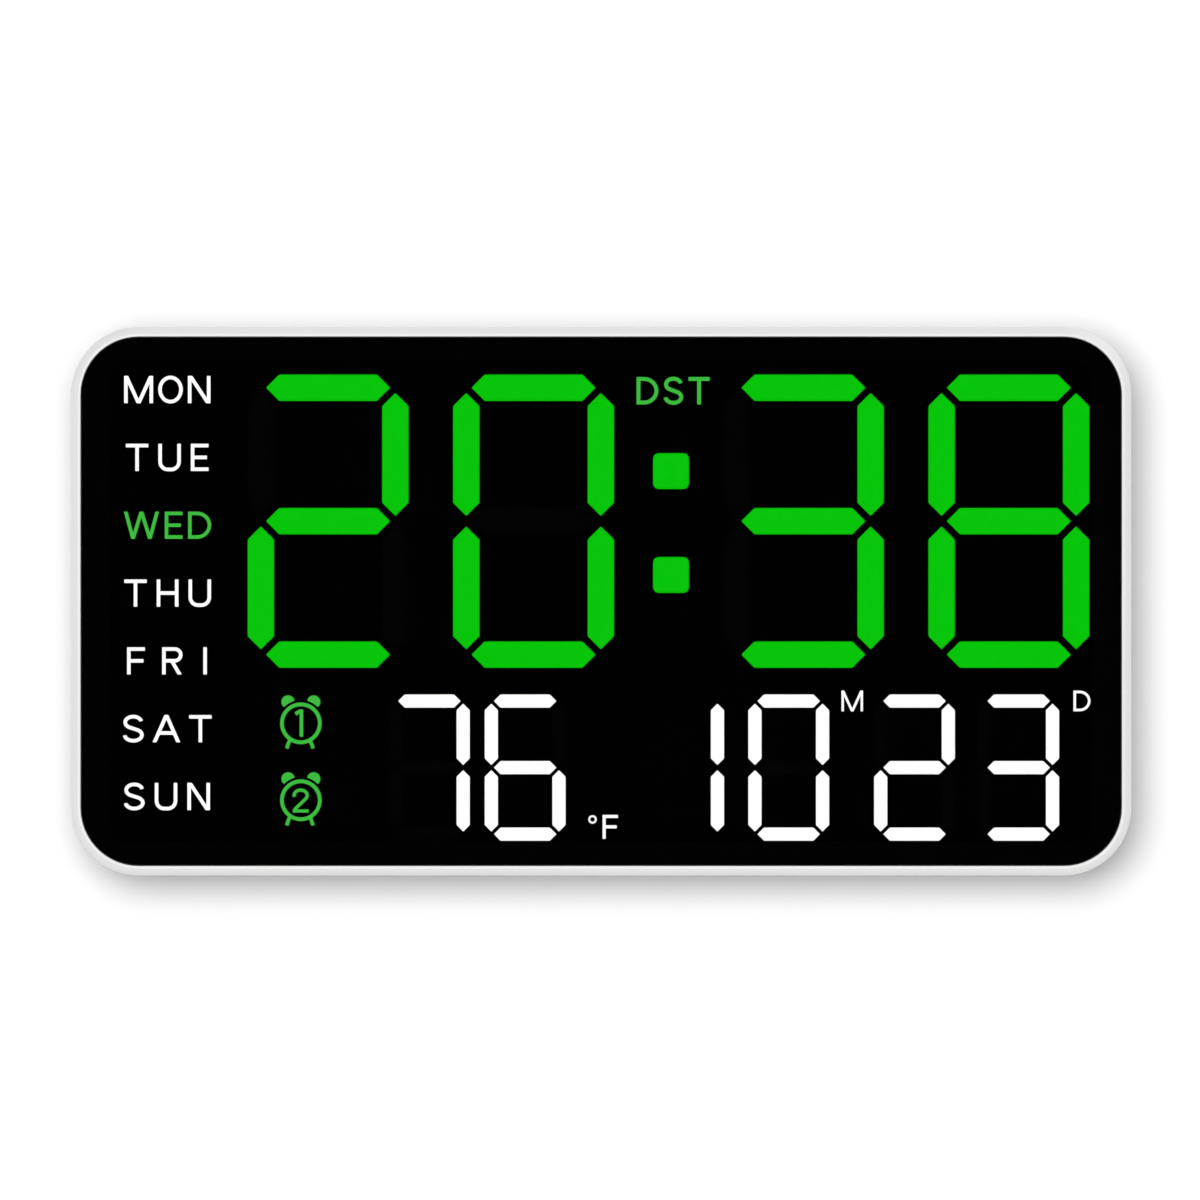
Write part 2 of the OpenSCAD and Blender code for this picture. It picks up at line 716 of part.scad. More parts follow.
// Power inlet
inlet_x = body_w / 2 - inlet_inset;
y_inlet = y_back - inlet_axis;
y_inlet_floor = y_board_back + inlet_clear + pocket_wall;
inlet_top = inlet_z + inlet_h;
jack_z = inlet_top + pocket_wall;
jack_end = jack_z + jack_h;
pin_end = jack_end + jack_tail;
lead_z = pin_end + lead_rise;

// Pieces on the back of the board
chip_z = button_z - chip_drop;
capacitor_x = inlet_x - capacitor_step;
buzzer_x = capacitor_x - buzzer_step;
probe_x = cell_x + probe_step;
y_probe = y_in - probe_gap - probe_r;

// Stands a flat outline up, from depth y0 to depth y1
module slab(y0, y1) {
    translate([0, y1, 0]) rotate([90, 0, 0]) linear_extrude(y1 - y0) children();
}

// Round post along Y at x and z
module post(at, r, y0, y1) {
    translate([at[0], y1, at[1]]) rotate([90, 0, 0]) cylinder(h = y1 - y0, r = r);
}

// Rectangle with round corners, about its own centre
module round_rect(w, h, r) {
    square([w - 2 * r, h], center = true);
    square([w, h - 2 * r], center = true);
    for (s = [-1, 1], t = [-1, 1]) translate([s * (w / 2 - r), t * (h / 2 - r)]) circle(r);
}

// The same, about the middle of the case
module plan(w, h, r) {
    translate([0, mid_z]) round_rect(w, h, r);
}

// Upright slot with round ends, about its own centre
module stadium(w, l) {
    square([w, l - w], center = true);
    for (s = [-1, 1]) translate([0, s * (l - w) / 2]) circle(w / 2);
}

// Carries a profile round the case: x is the distance in from the outer edge, y is the depth
module around(w, h, r) {
    translate([0, 0, mid_z]) {
        for (turn = [0, 180]) rotate([0, turn, 0]) edge_run(h / 2, w - 2 * r) children();
        for (turn = [90, 270]) rotate([0, turn, 0]) edge_run(w / 2, h - 2 * r) children();
        for (c = [[1, -1, 0], [-1, -1, 90], [-1, 1, 180], [1, 1, 270]])
            translate([c[0] * (w / 2 - r), 0, c[1] * (h / 2 - r)])
                rotate([0, c[2], 0])
                    rotate([-90, 0, 0])
                        rotate_extrude(angle = 90) translate([r, 0]) mirror([1, 0]) children();
    }
}

module edge_run(reach, l) {
    translate([0, 0, -reach]) rotate([0, -90, 0]) linear_extrude(l, center = true) children();
}

// What a crowned edge takes off a square corner: way is 1 for a front corner, -1 for a rear one
module crown_cut(y, edge, r, way) {
    centre = edge / 2 + sqrt(r * r - edge * edge / 2) / sqrt(2);
    translate([0, y]) difference() {
        translate([(centre - eps) / 2, way * (centre - eps) / 2]) square(centre + eps, center = true);
        translate([centre, way * centre]) circle(r);
    }
}

// Segment outline with 45 degree points, grown by m all round
module segment_outline(l, t, m) {
    tip = l / 2 + m * sqrt(2);
    half = t / 2 + m;
    polygon([
        [-tip, 0], [-tip + half, -half], [tip - half, -half],
        [tip, 0], [tip - half, half], [-tip + half, half]
    ]);
}

// Where segment i of a style lies, from the digit's centre
function segment_place(i, style) = [
    [0, style[1]], [style[0] / 2, style[1] / 2], [style[0] / 2, -style[1] / 2], [0, -style[1]],
    [-style[0] / 2, -style[1] / 2], [-style[0] / 2, style[1] / 2], [0, 0]
][i];

function is_level(i) = i % 3 == 0;

// Outlines of some segments of a digit, grown by m
module segments(d, picks, m) {
    style = d[3];
    for (i = picks)
        translate([d[1], d[2]] + segment_place(i, style))
            rotate(is_level(i) ? 0 : 90)
                segment_outline((is_level(i) ? style[0] : style[1]) - 2 * style[3], style[2], m);
}

function lit(d) = d[5] == ONE ? ONE : FIGURES[d[4]];

function unlit(d) = [for (i = d[5]) if (len(search(i, lit(d))) == 0) i];

module colon_outline(m) {
    for (s = [-1, 1])
        translate([colon_x, colon_z + s * colon_rise])
            round_rect(colon_size + 2 * m, colon_size + 2 * m, colon_r + m);
}

module cell_outline(c, m) {
    translate([c[0], c[1]]) round_rect(c[2] + 2 * m, c[3] + 2 * m, cell_corner_r + m);
}

// Every mark's outline, grown by m
module marks(m) {
    for (d = DIGITS) segments(d, d[5], m);
    colon_outline(m);
}

module words(m) {
    for (c = CELLS) cell_outline(c, m);
}

module front_frame() {
    color("white") difference() {
        union() {
            around(body_w, body_h, corner_r) difference() {
                polygon([
                    [0, y_front], [recess_u, y_front], [recess_u, y_ledge_back], [wall, y_ledge_back],
                    [wall, y_part], [parting_chamfer, y_part], [0, y_part - parting_chamfer]
                ]);
                crown_cut(y_front, front_edge, front_crown_r, 1);
            }
            slab(y_ledge_front, y_ledge_back) difference() {
                plan(body_w - 2 * recess_u, body_h - 2 * recess_u, corner_r - recess_u);
                plan(opening_w, opening_h, opening_r);
            }
            for (p = CASE_POSTS) post(p, boss_r, y_ledge_back, y_post);
            for (p = EAR_POSTS) post(p, boss_r, y_ledge_back, y_ear_front);
        }
        for (p = CASE_POSTS) post(p, pilot_r, y_post - case_grip - pilot_spare, y_post + eps);
        for (p = EAR_POSTS) post(p, pilot_r, y_ear_front - ear_grip - pilot_spare, y_ear_front + eps);
    }
}

module front_lens() {
    color([0.02, 0.02, 0.02, 0.5]) union() {
        around(lens_w, lens_h, lens_r) polygon([
            [lens_chamfer, y_lens_front], [edge_band, y_lens_front], [edge_band, y_lens_back],
            [0, y_lens_back], [0, y_lens_front + lens_chamfer]
        ]);
        slab(y_lens_front, y_lens_back)
            plan(lens_w - 2 * edge_band, lens_h - 2 * edge_band, lens_r - edge_band);
    }
}

module lens_tape() {
    color("dimgray") slab(y_lens_back, y_ledge_front) difference() {
        plan(lens_w - 2 * tape_inset, lens_h - 2 * tape_inset, lens_r - tape_inset);
        plan(opening_w + 2 * tape_inset, opening_h + 2 * tape_inset, opening_r + tape_inset);
    }
}

module display_film() {
    color("black") slab(y_film_front, y_box_front) difference() {
        plan(opening_w - 2 * film_play, opening_h - 2 * film_play, opening_r - film_play);
        marks(0);
    }
}

module light_box() {
    pocket = insert_margin + insert_gap;
    color("whitesmoke") difference() {
        union() {
            slab(y_box_front, y_box_back) plan(box_w, box_h, box_corner_r);
            slab(y_ear_front, y_ear_back) {
                for (p = SIDE_EARS) ear(p, [sign(p[0]) * box_w / 2, p[1]]);
                for (p = END_EARS) ear(p, [0, mid_z + sign(p[1] - mid_z) * box_h / 2]);
            }
        }
        slab(y_box_front - eps, y_insert_back) {
            marks(pocket);
            words(insert_gap);
        }
        slab(y_box_front - eps, y_box_back + eps) {
            marks(-seat_w);
            words(-seat_w);
        }
        for (p = EAR_POSTS) post(p, hole_r, y_ear_front - eps, y_ear_back + eps);
        for (p = BOARD_POSTS) post(p, pilot_r, y_box_back - board_grip - pilot_spare, y_box_back + eps);
    }
}

// Ear from the light box's edge out to its screw
module ear(at, root) {
    reach = at - root;
    translate(at) circle(ear_r);
    translate((at + root) / 2)
        square([max(abs(reach[0]), 2 * ear_r), max(abs(reach[1]), 2 * ear_r)], center = true);
}

module digit(d) {
    color(d[3] == BIG ? "lime" : "white")
        slab(y_box_front, y_insert_back) segments(d, lit(d), insert_margin);
}

module colon_dots() {
    color("lime") slab(y_box_front, y_insert_back) colon_outline(insert_margin);
}

module dark_segments() {
    color([0.1, 0.1, 0.1])
        slab(y_box_front, y_insert_back) for (d = DIGITS) segments(d, unlit(d), insert_margin);
}

module label_diffusers() {
    color("ivory") slab(y_box_front, y_insert_back) words(0);
}

module display_board() {
    color("darkgreen") difference() {
        slab(y_box_back, y_board_back) plan(box_w, box_h, box_corner_r);
        for (p = BOARD_POSTS) post(p, hole_r, y_box_back - eps, y_board_back + eps);
    }
}

// One lamp on the front of the board
module led(at) {
    slab(y_box_back - led_h, y_box_back) translate(at) square(led_w, center = true);
}

// Lamps of a digit, count of them along each segment
module digit_leds(d, count, pitch) {
    for (i = d[5], k = [0 : count - 1]) {
        step = (k - (count - 1) / 2) * pitch;
        led([d[1], d[2]] + segment_place(i, d[3]) + (is_level(i) ? [step, 0] : [0, step]));
    }
}

module green_leds() {
    color("palegreen") {
        for (i = [0 : TIME_DIGITS - 1]) digit_leds(DIGITS[i], 2, led_pitch);
        for (s = [-1, 1]) led([colon_x, colon_z + s * colon_rise]);
        for (c = WEEKDAY_CELLS) led([c[0] + word_led_pitch / 2, c[1]]);
        for (c = GREEN_CELLS) led([c[0], c[1]]);
    }
}

module white_leds() {
    color("lightyellow") {
        for (i = [TIME_DIGITS : len(DIGITS) - 1]) digit_leds(DIGITS[i], 1, 0);
        for (c = WEEKDAY_CELLS) led([c[0] - word_led_pitch / 2, c[1]]);
        for (c = WHITE_CELLS) led([c[0], c[1]]);
    }
}

// Chip body on the back of the board, with legs along its upper and lower edges
module chip(x, l, w) {
    legs = floor(l / leg_pitch) - 1;
    slab(y_board_back, y_board_back + chip_t) translate([x, chip_z]) square([l, w], center = true);
    slab(y_board_back, y_board_back + leg_t)
        for (i = [0 : legs - 1])
            translate([x + (i - (legs - 1) / 2) * leg_pitch, chip_z])
                square([leg_t, w + 2 * leg_l], center = true);
}

module controller_chip() {
    color("dimgray") chip(controller_x, controller_w, controller_w);
}

module driver_chips() {
    color("dimgray") for (s = [-1, 1]) chip(s * driver_x, driver_l, driver_w);
}

module clock_crystal() {
    color("silver") slab(y_board_back, y_board_back + crystal_h)
        translate([crystal_x, chip_z]) rotate(90) stadium(crystal_w, crystal_l);
}

module supply_capacitor() {
    color("navy") post([capacitor_x, sound_z], capacitor_r, y_board_back, y_board_back + capacitor_h);
}

module buzzer() {
    at = [buzzer_x, sound_z];
    top = y_board_back + buzzer_h;
    color("black") difference() {
        post(at, buzzer_r, y_board_back, top);
        post(at, buzzer_hole_r, top - buzzer_hole_d, top + eps);
    }
}

module thermistor() {
    color("saddlebrown") union() {
        translate([probe_x, y_probe, probe_z]) sphere(probe_r);
        for (s = [-1, 1]) post([probe_x + s * probe_r / 2, probe_z], probe_wire_r, y_board_back, y_probe);
    }
}

module switch_bodies() {
    color("black") for (x = BUTTON_X) difference() {
        slab(y_board_back, y_switch) translate([x, button_z]) square(switch_w, center = true);
        post([x, button_z], plunger_r + plunger_gap,
            y_switch - plunger_in - button_travel - plunger_spare, y_switch + eps);
    }
}

module switch_plunger(x) {
    color("gray") post([x, button_z], plunger_r, y_switch - plunger_in, y_plunger);
}

module push_button(x) {
    at = [x, button_z];
    top = y_button_floor + button_proud;
    color("gainsboro") union() {
        post(at, stem_r, y_plunger, y_flange);
        post(at, button_r + flange_w, y_flange, y_button_in);
        post(at, button_r, y_button_in, top - button_bevel);
        translate([x, top, button_z]) rotate([90, 0, 0])
            cylinder(h = button_bevel, r1 = button_r - button_bevel, r2 = button_r);
    }
}

module rear_cover() {
    color("white") difference() {
        union() {
            rear_shell();
            for (p = CASE_POSTS) screw_column(p);
            slab(y_button_in, y_in) button_field(wall);
            slab(y_stand_floor - pocket_wall, y_in) stand_bay(stand_side, wall);
            slab(y_hanger - pocket_wall, y_in) hangers() hanger_pocket(pocket_wall);
            post([cell_x, cell_z], cup_r, y_cup - pocket_wall, y_in);
            slab(y_inlet_floor - pocket_wall, y_in) inlet_pocket(pocket_wall);
            slab(y_back - cable_slot_d - pocket_wall, y_in) cable_slot(pocket_wall, wall);
        }
        for (p = CASE_POSTS) {
            post(p, hole_r, y_post - eps, y_well + eps);
            post(p, well_r, y_well, y_back + eps);
        }
        button_cuts();
        stand_cuts();
        slab(y_in - eps, y_back + eps) hangers() keyhole();
        slab(y_hanger, y_in) hangers() hanger_pocket(0);
        cell_cuts();
        inlet_cuts();
        slot_cuts(probe_x, probe_z);
        slot_cuts(buzzer_x, sound_z);
        slab(y_back - panel_d, y_back + eps)
            translate([body_w / 2 - panel_inset, body_h - panel_drop]) round_rect(panel_w, panel_h, panel_r);
    }
}

// Side wall with its tongue and rounded rear edge, closed by the back
module rear_shell() {
    tongue_out = wall + fit_gap;
    tongue_in = tongue_out + tongue_t;
    around(body_w, body_h, corner_r) difference() {
        polygon([
            [parting_chamfer, y_part], [tongue_out, y_part], [tongue_out, y_part - tongue_l],
            [tongue_in, y_part - tongue_l], [tongue_in, y_part + parting_chamfer],
            [wall, y_part + parting_chamfer + tongue_in - wall], [wall, y_in], [edge_band, y_in],
            [edge_band, y_back], [0, y_back], [0, y_part + parting_chamfer]
        ]);
        crown_cut(y_back, rear_edge, rear_crown_r, -1);
    }
    slab(y_in, y_back) plan(body_w - 2 * edge_band, body_h - 2 * edge_band, corner_r - edge_band);
}

// Slim below the parting line, wide round the screw's well
module screw_column(at) {
    post(at, boss_r, y_post, y_well);
    post(at, well_r + well_wall, y_well - well_floor, y_in);
}

module button_field(m) {
    translate([0, button_z]) rotate(90) stadium(button_field_h + 2 * m, button_field_w + 2 * m);
}

module button_cuts() {
    slab(y_button_floor, y_back + eps) button_field(0);
    for (x = BUTTON_X) post([x, button_z], button_r + fit_gap, y_button_in - eps, y_button_floor + eps);
}

// Bay of the folded leg, from the underside up to above its heel
module stand_bay(side, top) {
    translate([-stand_half - side, 0]) square([2 * (stand_half + side), stand_top + top]);
}

module stand_cuts() {
    translate([0, 0, -eps]) slab(y_stand_floor, y_back + eps) stand_bay(0, eps);
    for (s = [-1, 1]) hinge_pin(s, pin_r + pin_gap, stand_half - eps, stand_half + pin_l + pin_gap);
}

// Round bar on the leg's hinge line, on side s, from x0 to x1
module hinge_pin(s, r, x0, x1) {
    translate([s * (x0 + x1) / 2, y_hinge, hinge_z])
        rotate([0, 90, 0]) cylinder(h = x1 - x0, r = r, center = true);
}

module hangers() {
    for (s = [-1, 1]) translate([s * hanger_spacing / 2, hanger_z]) children();
}

module keyhole() {
    circle(hanger_entry_r);
    translate([-hanger_slot_r, 0]) square([2 * hanger_slot_r, hanger_slot_l]);
    translate([0, hanger_slot_l]) circle(hanger_slot_r);
}

module hanger_pocket(m) {
    translate([0, hanger_slot_l / 2])
        stadium(2 * (hanger_half + m), hanger_slot_l + 2 * (hanger_half + m));
}

module cell_cuts() {
    at = [cell_x, cell_z];
    post(at, cap_r + fit_gap, y_cap_in, y_back + eps);
    post(at, cell_bore_r, y_cup, y_cap_in + eps);
    post(at, groove_r, y_ring_in - lug_play, y_ring_in + lug_t + lug_play);
    translate([cell_x, 0, cell_z]) rotate([0, cap_turn, 0])
        slab(y_ring_in, y_cap_in + eps) intersection() {
            square([2 * groove_r, lug_w + 2 * lug_play], center = true);
            circle(lug_r + lug_play / 2);
        }
    slab(y_cup - pocket_wall - eps, y_cup + eps)
        for (x = [plus_x, minus_x])
            translate([x, cell_z]) square([strip_t, strip_w] + 2 * [fit_gap, fit_gap], center = true);
}

module inlet_pocket(m) {
    translate([inlet_x - inlet_w / 2 - m, inlet_z - m]) square([inlet_w + 2 * m, inlet_h + 2 * m]);
}

module cable_slot(m, low) {
    translate([inlet_x - cable_slot_w / 2 - m, low]) square([cable_slot_w + 2 * m, inlet_z - low]);
}

module inlet_cuts() {
    slab(y_inlet_floor, y_back + eps) inlet_pocket(0);
    slab(y_back - cable_slot_d, y_back + eps) cable_slot(0, -eps);
    translate([inlet_x, y_inlet, inlet_top - eps])
        cylinder(h = pocket_wall + 2 * eps, r = jack_nose_r + fit_gap);
}

// A group of upright slots through the back
module slot_cuts(x, z) {
    slab(y_in - eps, y_back + eps)
        for (i = [0 : slot_count - 1])
            translate([x + (i - (slot_count - 1) / 2) * slot_pitch, z]) stadium(slot_w, slot_l);
}

module stand_leg() {
    field_w = stand_w - 2 * stand_border;
    field_l = hinge_z - stand_heel - stand_end - 2 * stand_border;
    color("white") union() {
        difference() {
            slab(y_stand, y_hinge + stand_t / 2) {
                translate([0, stand_end + stand_l / 2]) {
                    square([stand_w - 2 * stand_corner_r, stand_l], center = true);
                    translate([0, stand_corner_r / 2])
                        square([stand_w, stand_l - stand_corner_r], center = true);
                }
                for (s = [-1, 1])
                    translate([s * (stand_w / 2 - stand_corner_r), stand_end + stand_corner_r])
                        circle(stand_corner_r);
            }
            slab(y_hinge + stand_t / 2 - stand_field_d, y_back + eps)
                translate([0, stand_end + stand_border + field_l / 2])
                    round_rect(field_w, field_l, stand_field_r);
        }
        for (s = [-1, 1]) hinge_pin(s, pin_r, stand_w / 2, stand_half + pin_l);
    }
}

module coin_cell() {
    color("silver") union() {
        post([cell_x, cell_z], cell_pole_r, y_cell_in, y_cell_in + cell_pole_h);
        post([cell_x, cell_z], cell_r, y_cell_in + cell_pole_h, y_cell_out);
    }
}

module battery_plus_contact() {
    color("gold") slab(y_tail, y_cell_out - cell_pole_h)
        translate([plus_x, cell_z]) square([strip_t, strip_w], center = true);
}

module battery_minus_contact() {
    color("gold") union() {
        slab(y_cup, y_cup + strip_t) translate([cell_x, cell_z]) square([spring_l, strip_w], center = true);
        slab(y_tail, y_cup) translate([minus_x, cell_z]) square([strip_t, strip_w], center = true);
        post([cell_x, cell_z], spring_dot_r, y_cup + strip_t, y_cell_in);
    }
}

module battery_leads() {
    color("firebrick") for (x = [plus_x, minus_x]) post([x, cell_z], wire_r, y_board_back, y_tail);
}

module battery_cap() {
    at = [cell_x, cell_z];
    color("white") difference() {
        union() {
            post(at, cap_r, y_cap_in, y_cap_out);
            post(at, cap_ring_r, y_ring_in, y_cap_in);
            translate([cell_x, 0, cell_z]) slab(y_ring_in, y_ring_in + lug_t) intersection() {
                square([2 * lug_r, lug_w], center = true);
                circle(lug_r);
            }
        }
        post(at, cap_ring_r - cap_ring_t, y_ring_in - eps, y_cap_in);
        slab(y_cap_out - coin_slot_d, y_back + eps)
            translate(at) rotate(90) stadium(coin_slot_w, coin_slot_l);
    }
}

module power_jack() {
    color("black") difference() {
        union() {
            translate([inlet_x - jack_w / 2, y_inlet - jack_w / 2, jack_z])
                cube([jack_w, y_in - y_inlet + jack_w / 2, jack_h]);
            translate([inlet_x, y_inlet, inlet_top]) cylinder(h = pocket_wall, r = jack_nose_r);
        }
        translate([inlet_x, y_inlet, inlet_top - eps])
            cylinder(h = jack_bore_d + eps, r = jack_bore_r);
        translate([inlet_x, y_inlet, inlet_top])
            cylinder(h = jack_end - inlet_top + eps, r = jack_pin_r + pilot_gap);
    }
}

module jack_pin() {
    color("silver") translate([inlet_x, y_inlet, inlet_top + jack_pin_sink])
        cylinder(h = pin_end - inlet_top - jack_pin_sink, r = jack_pin_r);
}

// Two wires that rise from the inlet and bend to the board
module power_leads() {
    color("firebrick") {
        supply_wire(0, pin_end);
        supply_wire(lead_pitch, jack_end);
    }
}

module supply_wire(dx, z0) {
    translate([inlet_x + dx, y_inlet, 0]) union() {
        translate([0, 0, z0]) cylinder(h = lead_z - z0, r = wire_r);
        translate([0, -lead_bend, lead_z]) rotate([90, 0, 90])
            rotate_extrude(angle = 90) translate([lead_bend, 0]) circle(wire_r);
        translate([0, -lead_bend, lead_z + lead_bend]) rotate([90, 0, 0])
            cylinder(h = y_inlet - lead_bend - y_board_back, r = wire_r);
    }
}

// Screw with its head at depth y_seat, facing the back
module screw(at, y_seat, l) {
    difference() {
        union() {
            post(at, screw_r, y_seat - l, y_seat);
            post(at, screw_head_r, y_seat, y_seat + screw_head_h);
        }
        slab(y_seat + screw_head_h - cross_d, y_seat + screw_head_h + eps) translate(at) {
            square([cross_l, cross_w], center = true);
            square([cross_w, cross_l], center = true);
        }
    }
}

module case_screws() {
    color("silver") for (p = CASE_POSTS) screw(p, y_well, y_well - y_post + case_grip);
}

module module_screws() {
    color("silver") for (p = EAR_POSTS) screw(p, y_ear_back, ear_t + ear_grip);
}

module board_screws() {
    color("silver") for (p = BOARD_POSTS) screw(p, y_board_back, board_t + board_grip);
}

front_frame();
front_lens();
lens_tape();
display_film();
light_box();
for (d = DIGITS) digit(d);
colon_dots();
dark_segments();
label_diffusers();
display_board();
green_leds();
white_leds();
controller_chip();
driver_chips();
clock_crystal();
supply_capacitor();
buzzer();
thermistor();
switch_bodies();
for (i = [0 : len(BUTTONS) - 1])
    switch_plunger(BUTTON_X[i]);
for (i = [0 : len(BUTTONS) - 1])
    push_button(BUTTON_X[i]);
rear_cover();
stand_leg();
coin_cell();
battery_plus_contact();
battery_minus_contact();
battery_leads();
battery_cap();
power_jack();
jack_pin();
power_leads();
case_screws();
module_screws();
board_screws();
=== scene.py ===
# %% [markdown]
# # Dressing a digital wall clock
# The clock arrives as a finished CAD frame: a white case in two halves, a smoked window, a display module
# and all that sits behind it. Blender adds what the frame leaves open: finishes, lit words and signs, and a
# small studio. The frame is never moved or reshaped, and each new piece takes its depth from it.

# %% Load the frame
import math

import bpy
import numpy as np
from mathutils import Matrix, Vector


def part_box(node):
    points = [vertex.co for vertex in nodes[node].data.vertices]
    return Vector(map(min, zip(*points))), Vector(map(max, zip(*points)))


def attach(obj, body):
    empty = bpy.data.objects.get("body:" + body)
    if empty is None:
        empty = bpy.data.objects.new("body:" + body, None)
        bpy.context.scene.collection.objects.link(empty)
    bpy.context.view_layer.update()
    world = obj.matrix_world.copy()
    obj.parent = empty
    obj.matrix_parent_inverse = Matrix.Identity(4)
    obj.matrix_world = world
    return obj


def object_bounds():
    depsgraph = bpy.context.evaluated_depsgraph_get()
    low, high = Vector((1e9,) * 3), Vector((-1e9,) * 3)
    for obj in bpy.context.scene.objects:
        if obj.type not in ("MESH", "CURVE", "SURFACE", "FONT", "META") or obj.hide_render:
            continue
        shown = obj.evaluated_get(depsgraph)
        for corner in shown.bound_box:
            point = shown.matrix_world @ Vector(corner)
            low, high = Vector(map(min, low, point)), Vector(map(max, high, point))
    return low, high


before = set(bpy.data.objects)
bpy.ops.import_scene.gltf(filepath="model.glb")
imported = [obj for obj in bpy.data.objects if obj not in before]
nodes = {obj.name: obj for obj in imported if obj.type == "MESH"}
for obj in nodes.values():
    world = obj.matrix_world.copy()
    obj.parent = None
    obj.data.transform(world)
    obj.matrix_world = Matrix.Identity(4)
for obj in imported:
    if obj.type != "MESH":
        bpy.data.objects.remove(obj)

cad_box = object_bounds()
scene = bpy.context.scene
MM = 0.001

# %% [markdown]
# ## Camera
# The photograph looks straight at the window, with the four sides of the case hidden. A flat, parallel
# camera would do the same, but the other views move this one round the object and need a real lens. A long
# lens far away is the usual answer: the case's sides stay hidden, and nothing looks stretched.

# %% Place the camera
# In pixels of the photograph: its side, the width of the case, and the middle of the case.
IMAGE_PX = 1200
CASE_PX = 1060.5
CASE_MIDDLE_PX = (601.2, 601.25)
CAMERA_DISTANCE = 8.0
SENSOR = 36

case_low, case_high = cad_box
case_middle = (case_low + case_high) / 2
metres_per_px = (case_high.x - case_low.x) / CASE_PX
camera = bpy.data.objects.new("camera", bpy.data.cameras.new("camera"))
camera.data.sensor_width = SENSOR
camera.data.lens = SENSOR * CAMERA_DISTANCE / (IMAGE_PX * metres_per_px)
camera.rotation_euler = (math.radians(90), 0, 0)
camera.location = (
    case_middle.x - (CASE_MIDDLE_PX[0] - IMAGE_PX / 2) * metres_per_px,
    case_low.y - CAMERA_DISTANCE,
    case_middle.z + (CASE_MIDDLE_PX[1] - IMAGE_PX / 2) * metres_per_px,
)
scene.collection.objects.link(camera)
scene.camera = camera
scene.view_settings.view_transform = "Standard"
print("camera: lens", round(camera.data.lens, 1), "mm")

# %% [markdown]
# ## Chains of nodes
# A finish is a chain of nodes that ends in one shader, and the surroundings are such a chain too. Each node
# could be made and linked by hand, at four or five lines a node. This small class does that in one line, so
# that the cells below read as what a finish does.

# %% Steps that all chains share
class NodeChain:
    """Shader nodes in one tree, each fed with numbers, colours or the outputs of other nodes."""

    def __init__(self, tree):
        self.tree = tree

    def feed(self, socket, value):
        """A link where the value is another node's output, and a plain number or colour where it isn't."""
        if isinstance(value, bpy.types.NodeSocket):
            self.tree.links.new(value, socket)
        else:
            socket.default_value = value

    def add(self, kind, inputs, **options):
        """One node with its options set and its inputs fed."""
        node = self.tree.nodes.new("ShaderNode" + kind)
        for option, value in options.items():
            setattr(node, option, value)
        for socket, value in inputs.items():
            self.feed(node.inputs[socket], value)
        return node

    def math(self, operation, first, second):
        """One sum on two patterns or numbers."""
        return self.add("Math", {0: first, 1: second}, operation=operation).outputs[0]

    def seen(self):
        """1 for a ray that looks straight, by mirror or through glass, and 0 for one that only lights."""
        path = self.add("LightPath", {}).outputs
        by_surface = self.math("MAXIMUM", path["Is Glossy Ray"], path["Is Transmission Ray"])
        return self.math("MAXIMUM", path["Is Camera Ray"], by_surface)

# %% [markdown]
# ## Finishes
# Painted images could give the patterns, but a pattern that is worked out from the place on the surface has
# no seams and no fixed resolution, and it keeps its real scale. So each step below turns the place into a
# number or a colour. The edge mask is the one step that also looks at the shape round a point.

# %% Steps that finishes share
# A mix node has inputs and outputs for each kind of data, so those for colour are picked by their number.
COLOUR_INPUTS = (6, 7)
COLOUR_OUTPUT = 2
EDGE_SAMPLES = 4
SAME_AT_EDGE = 0.75
SAME_ON_FACE = 0.99


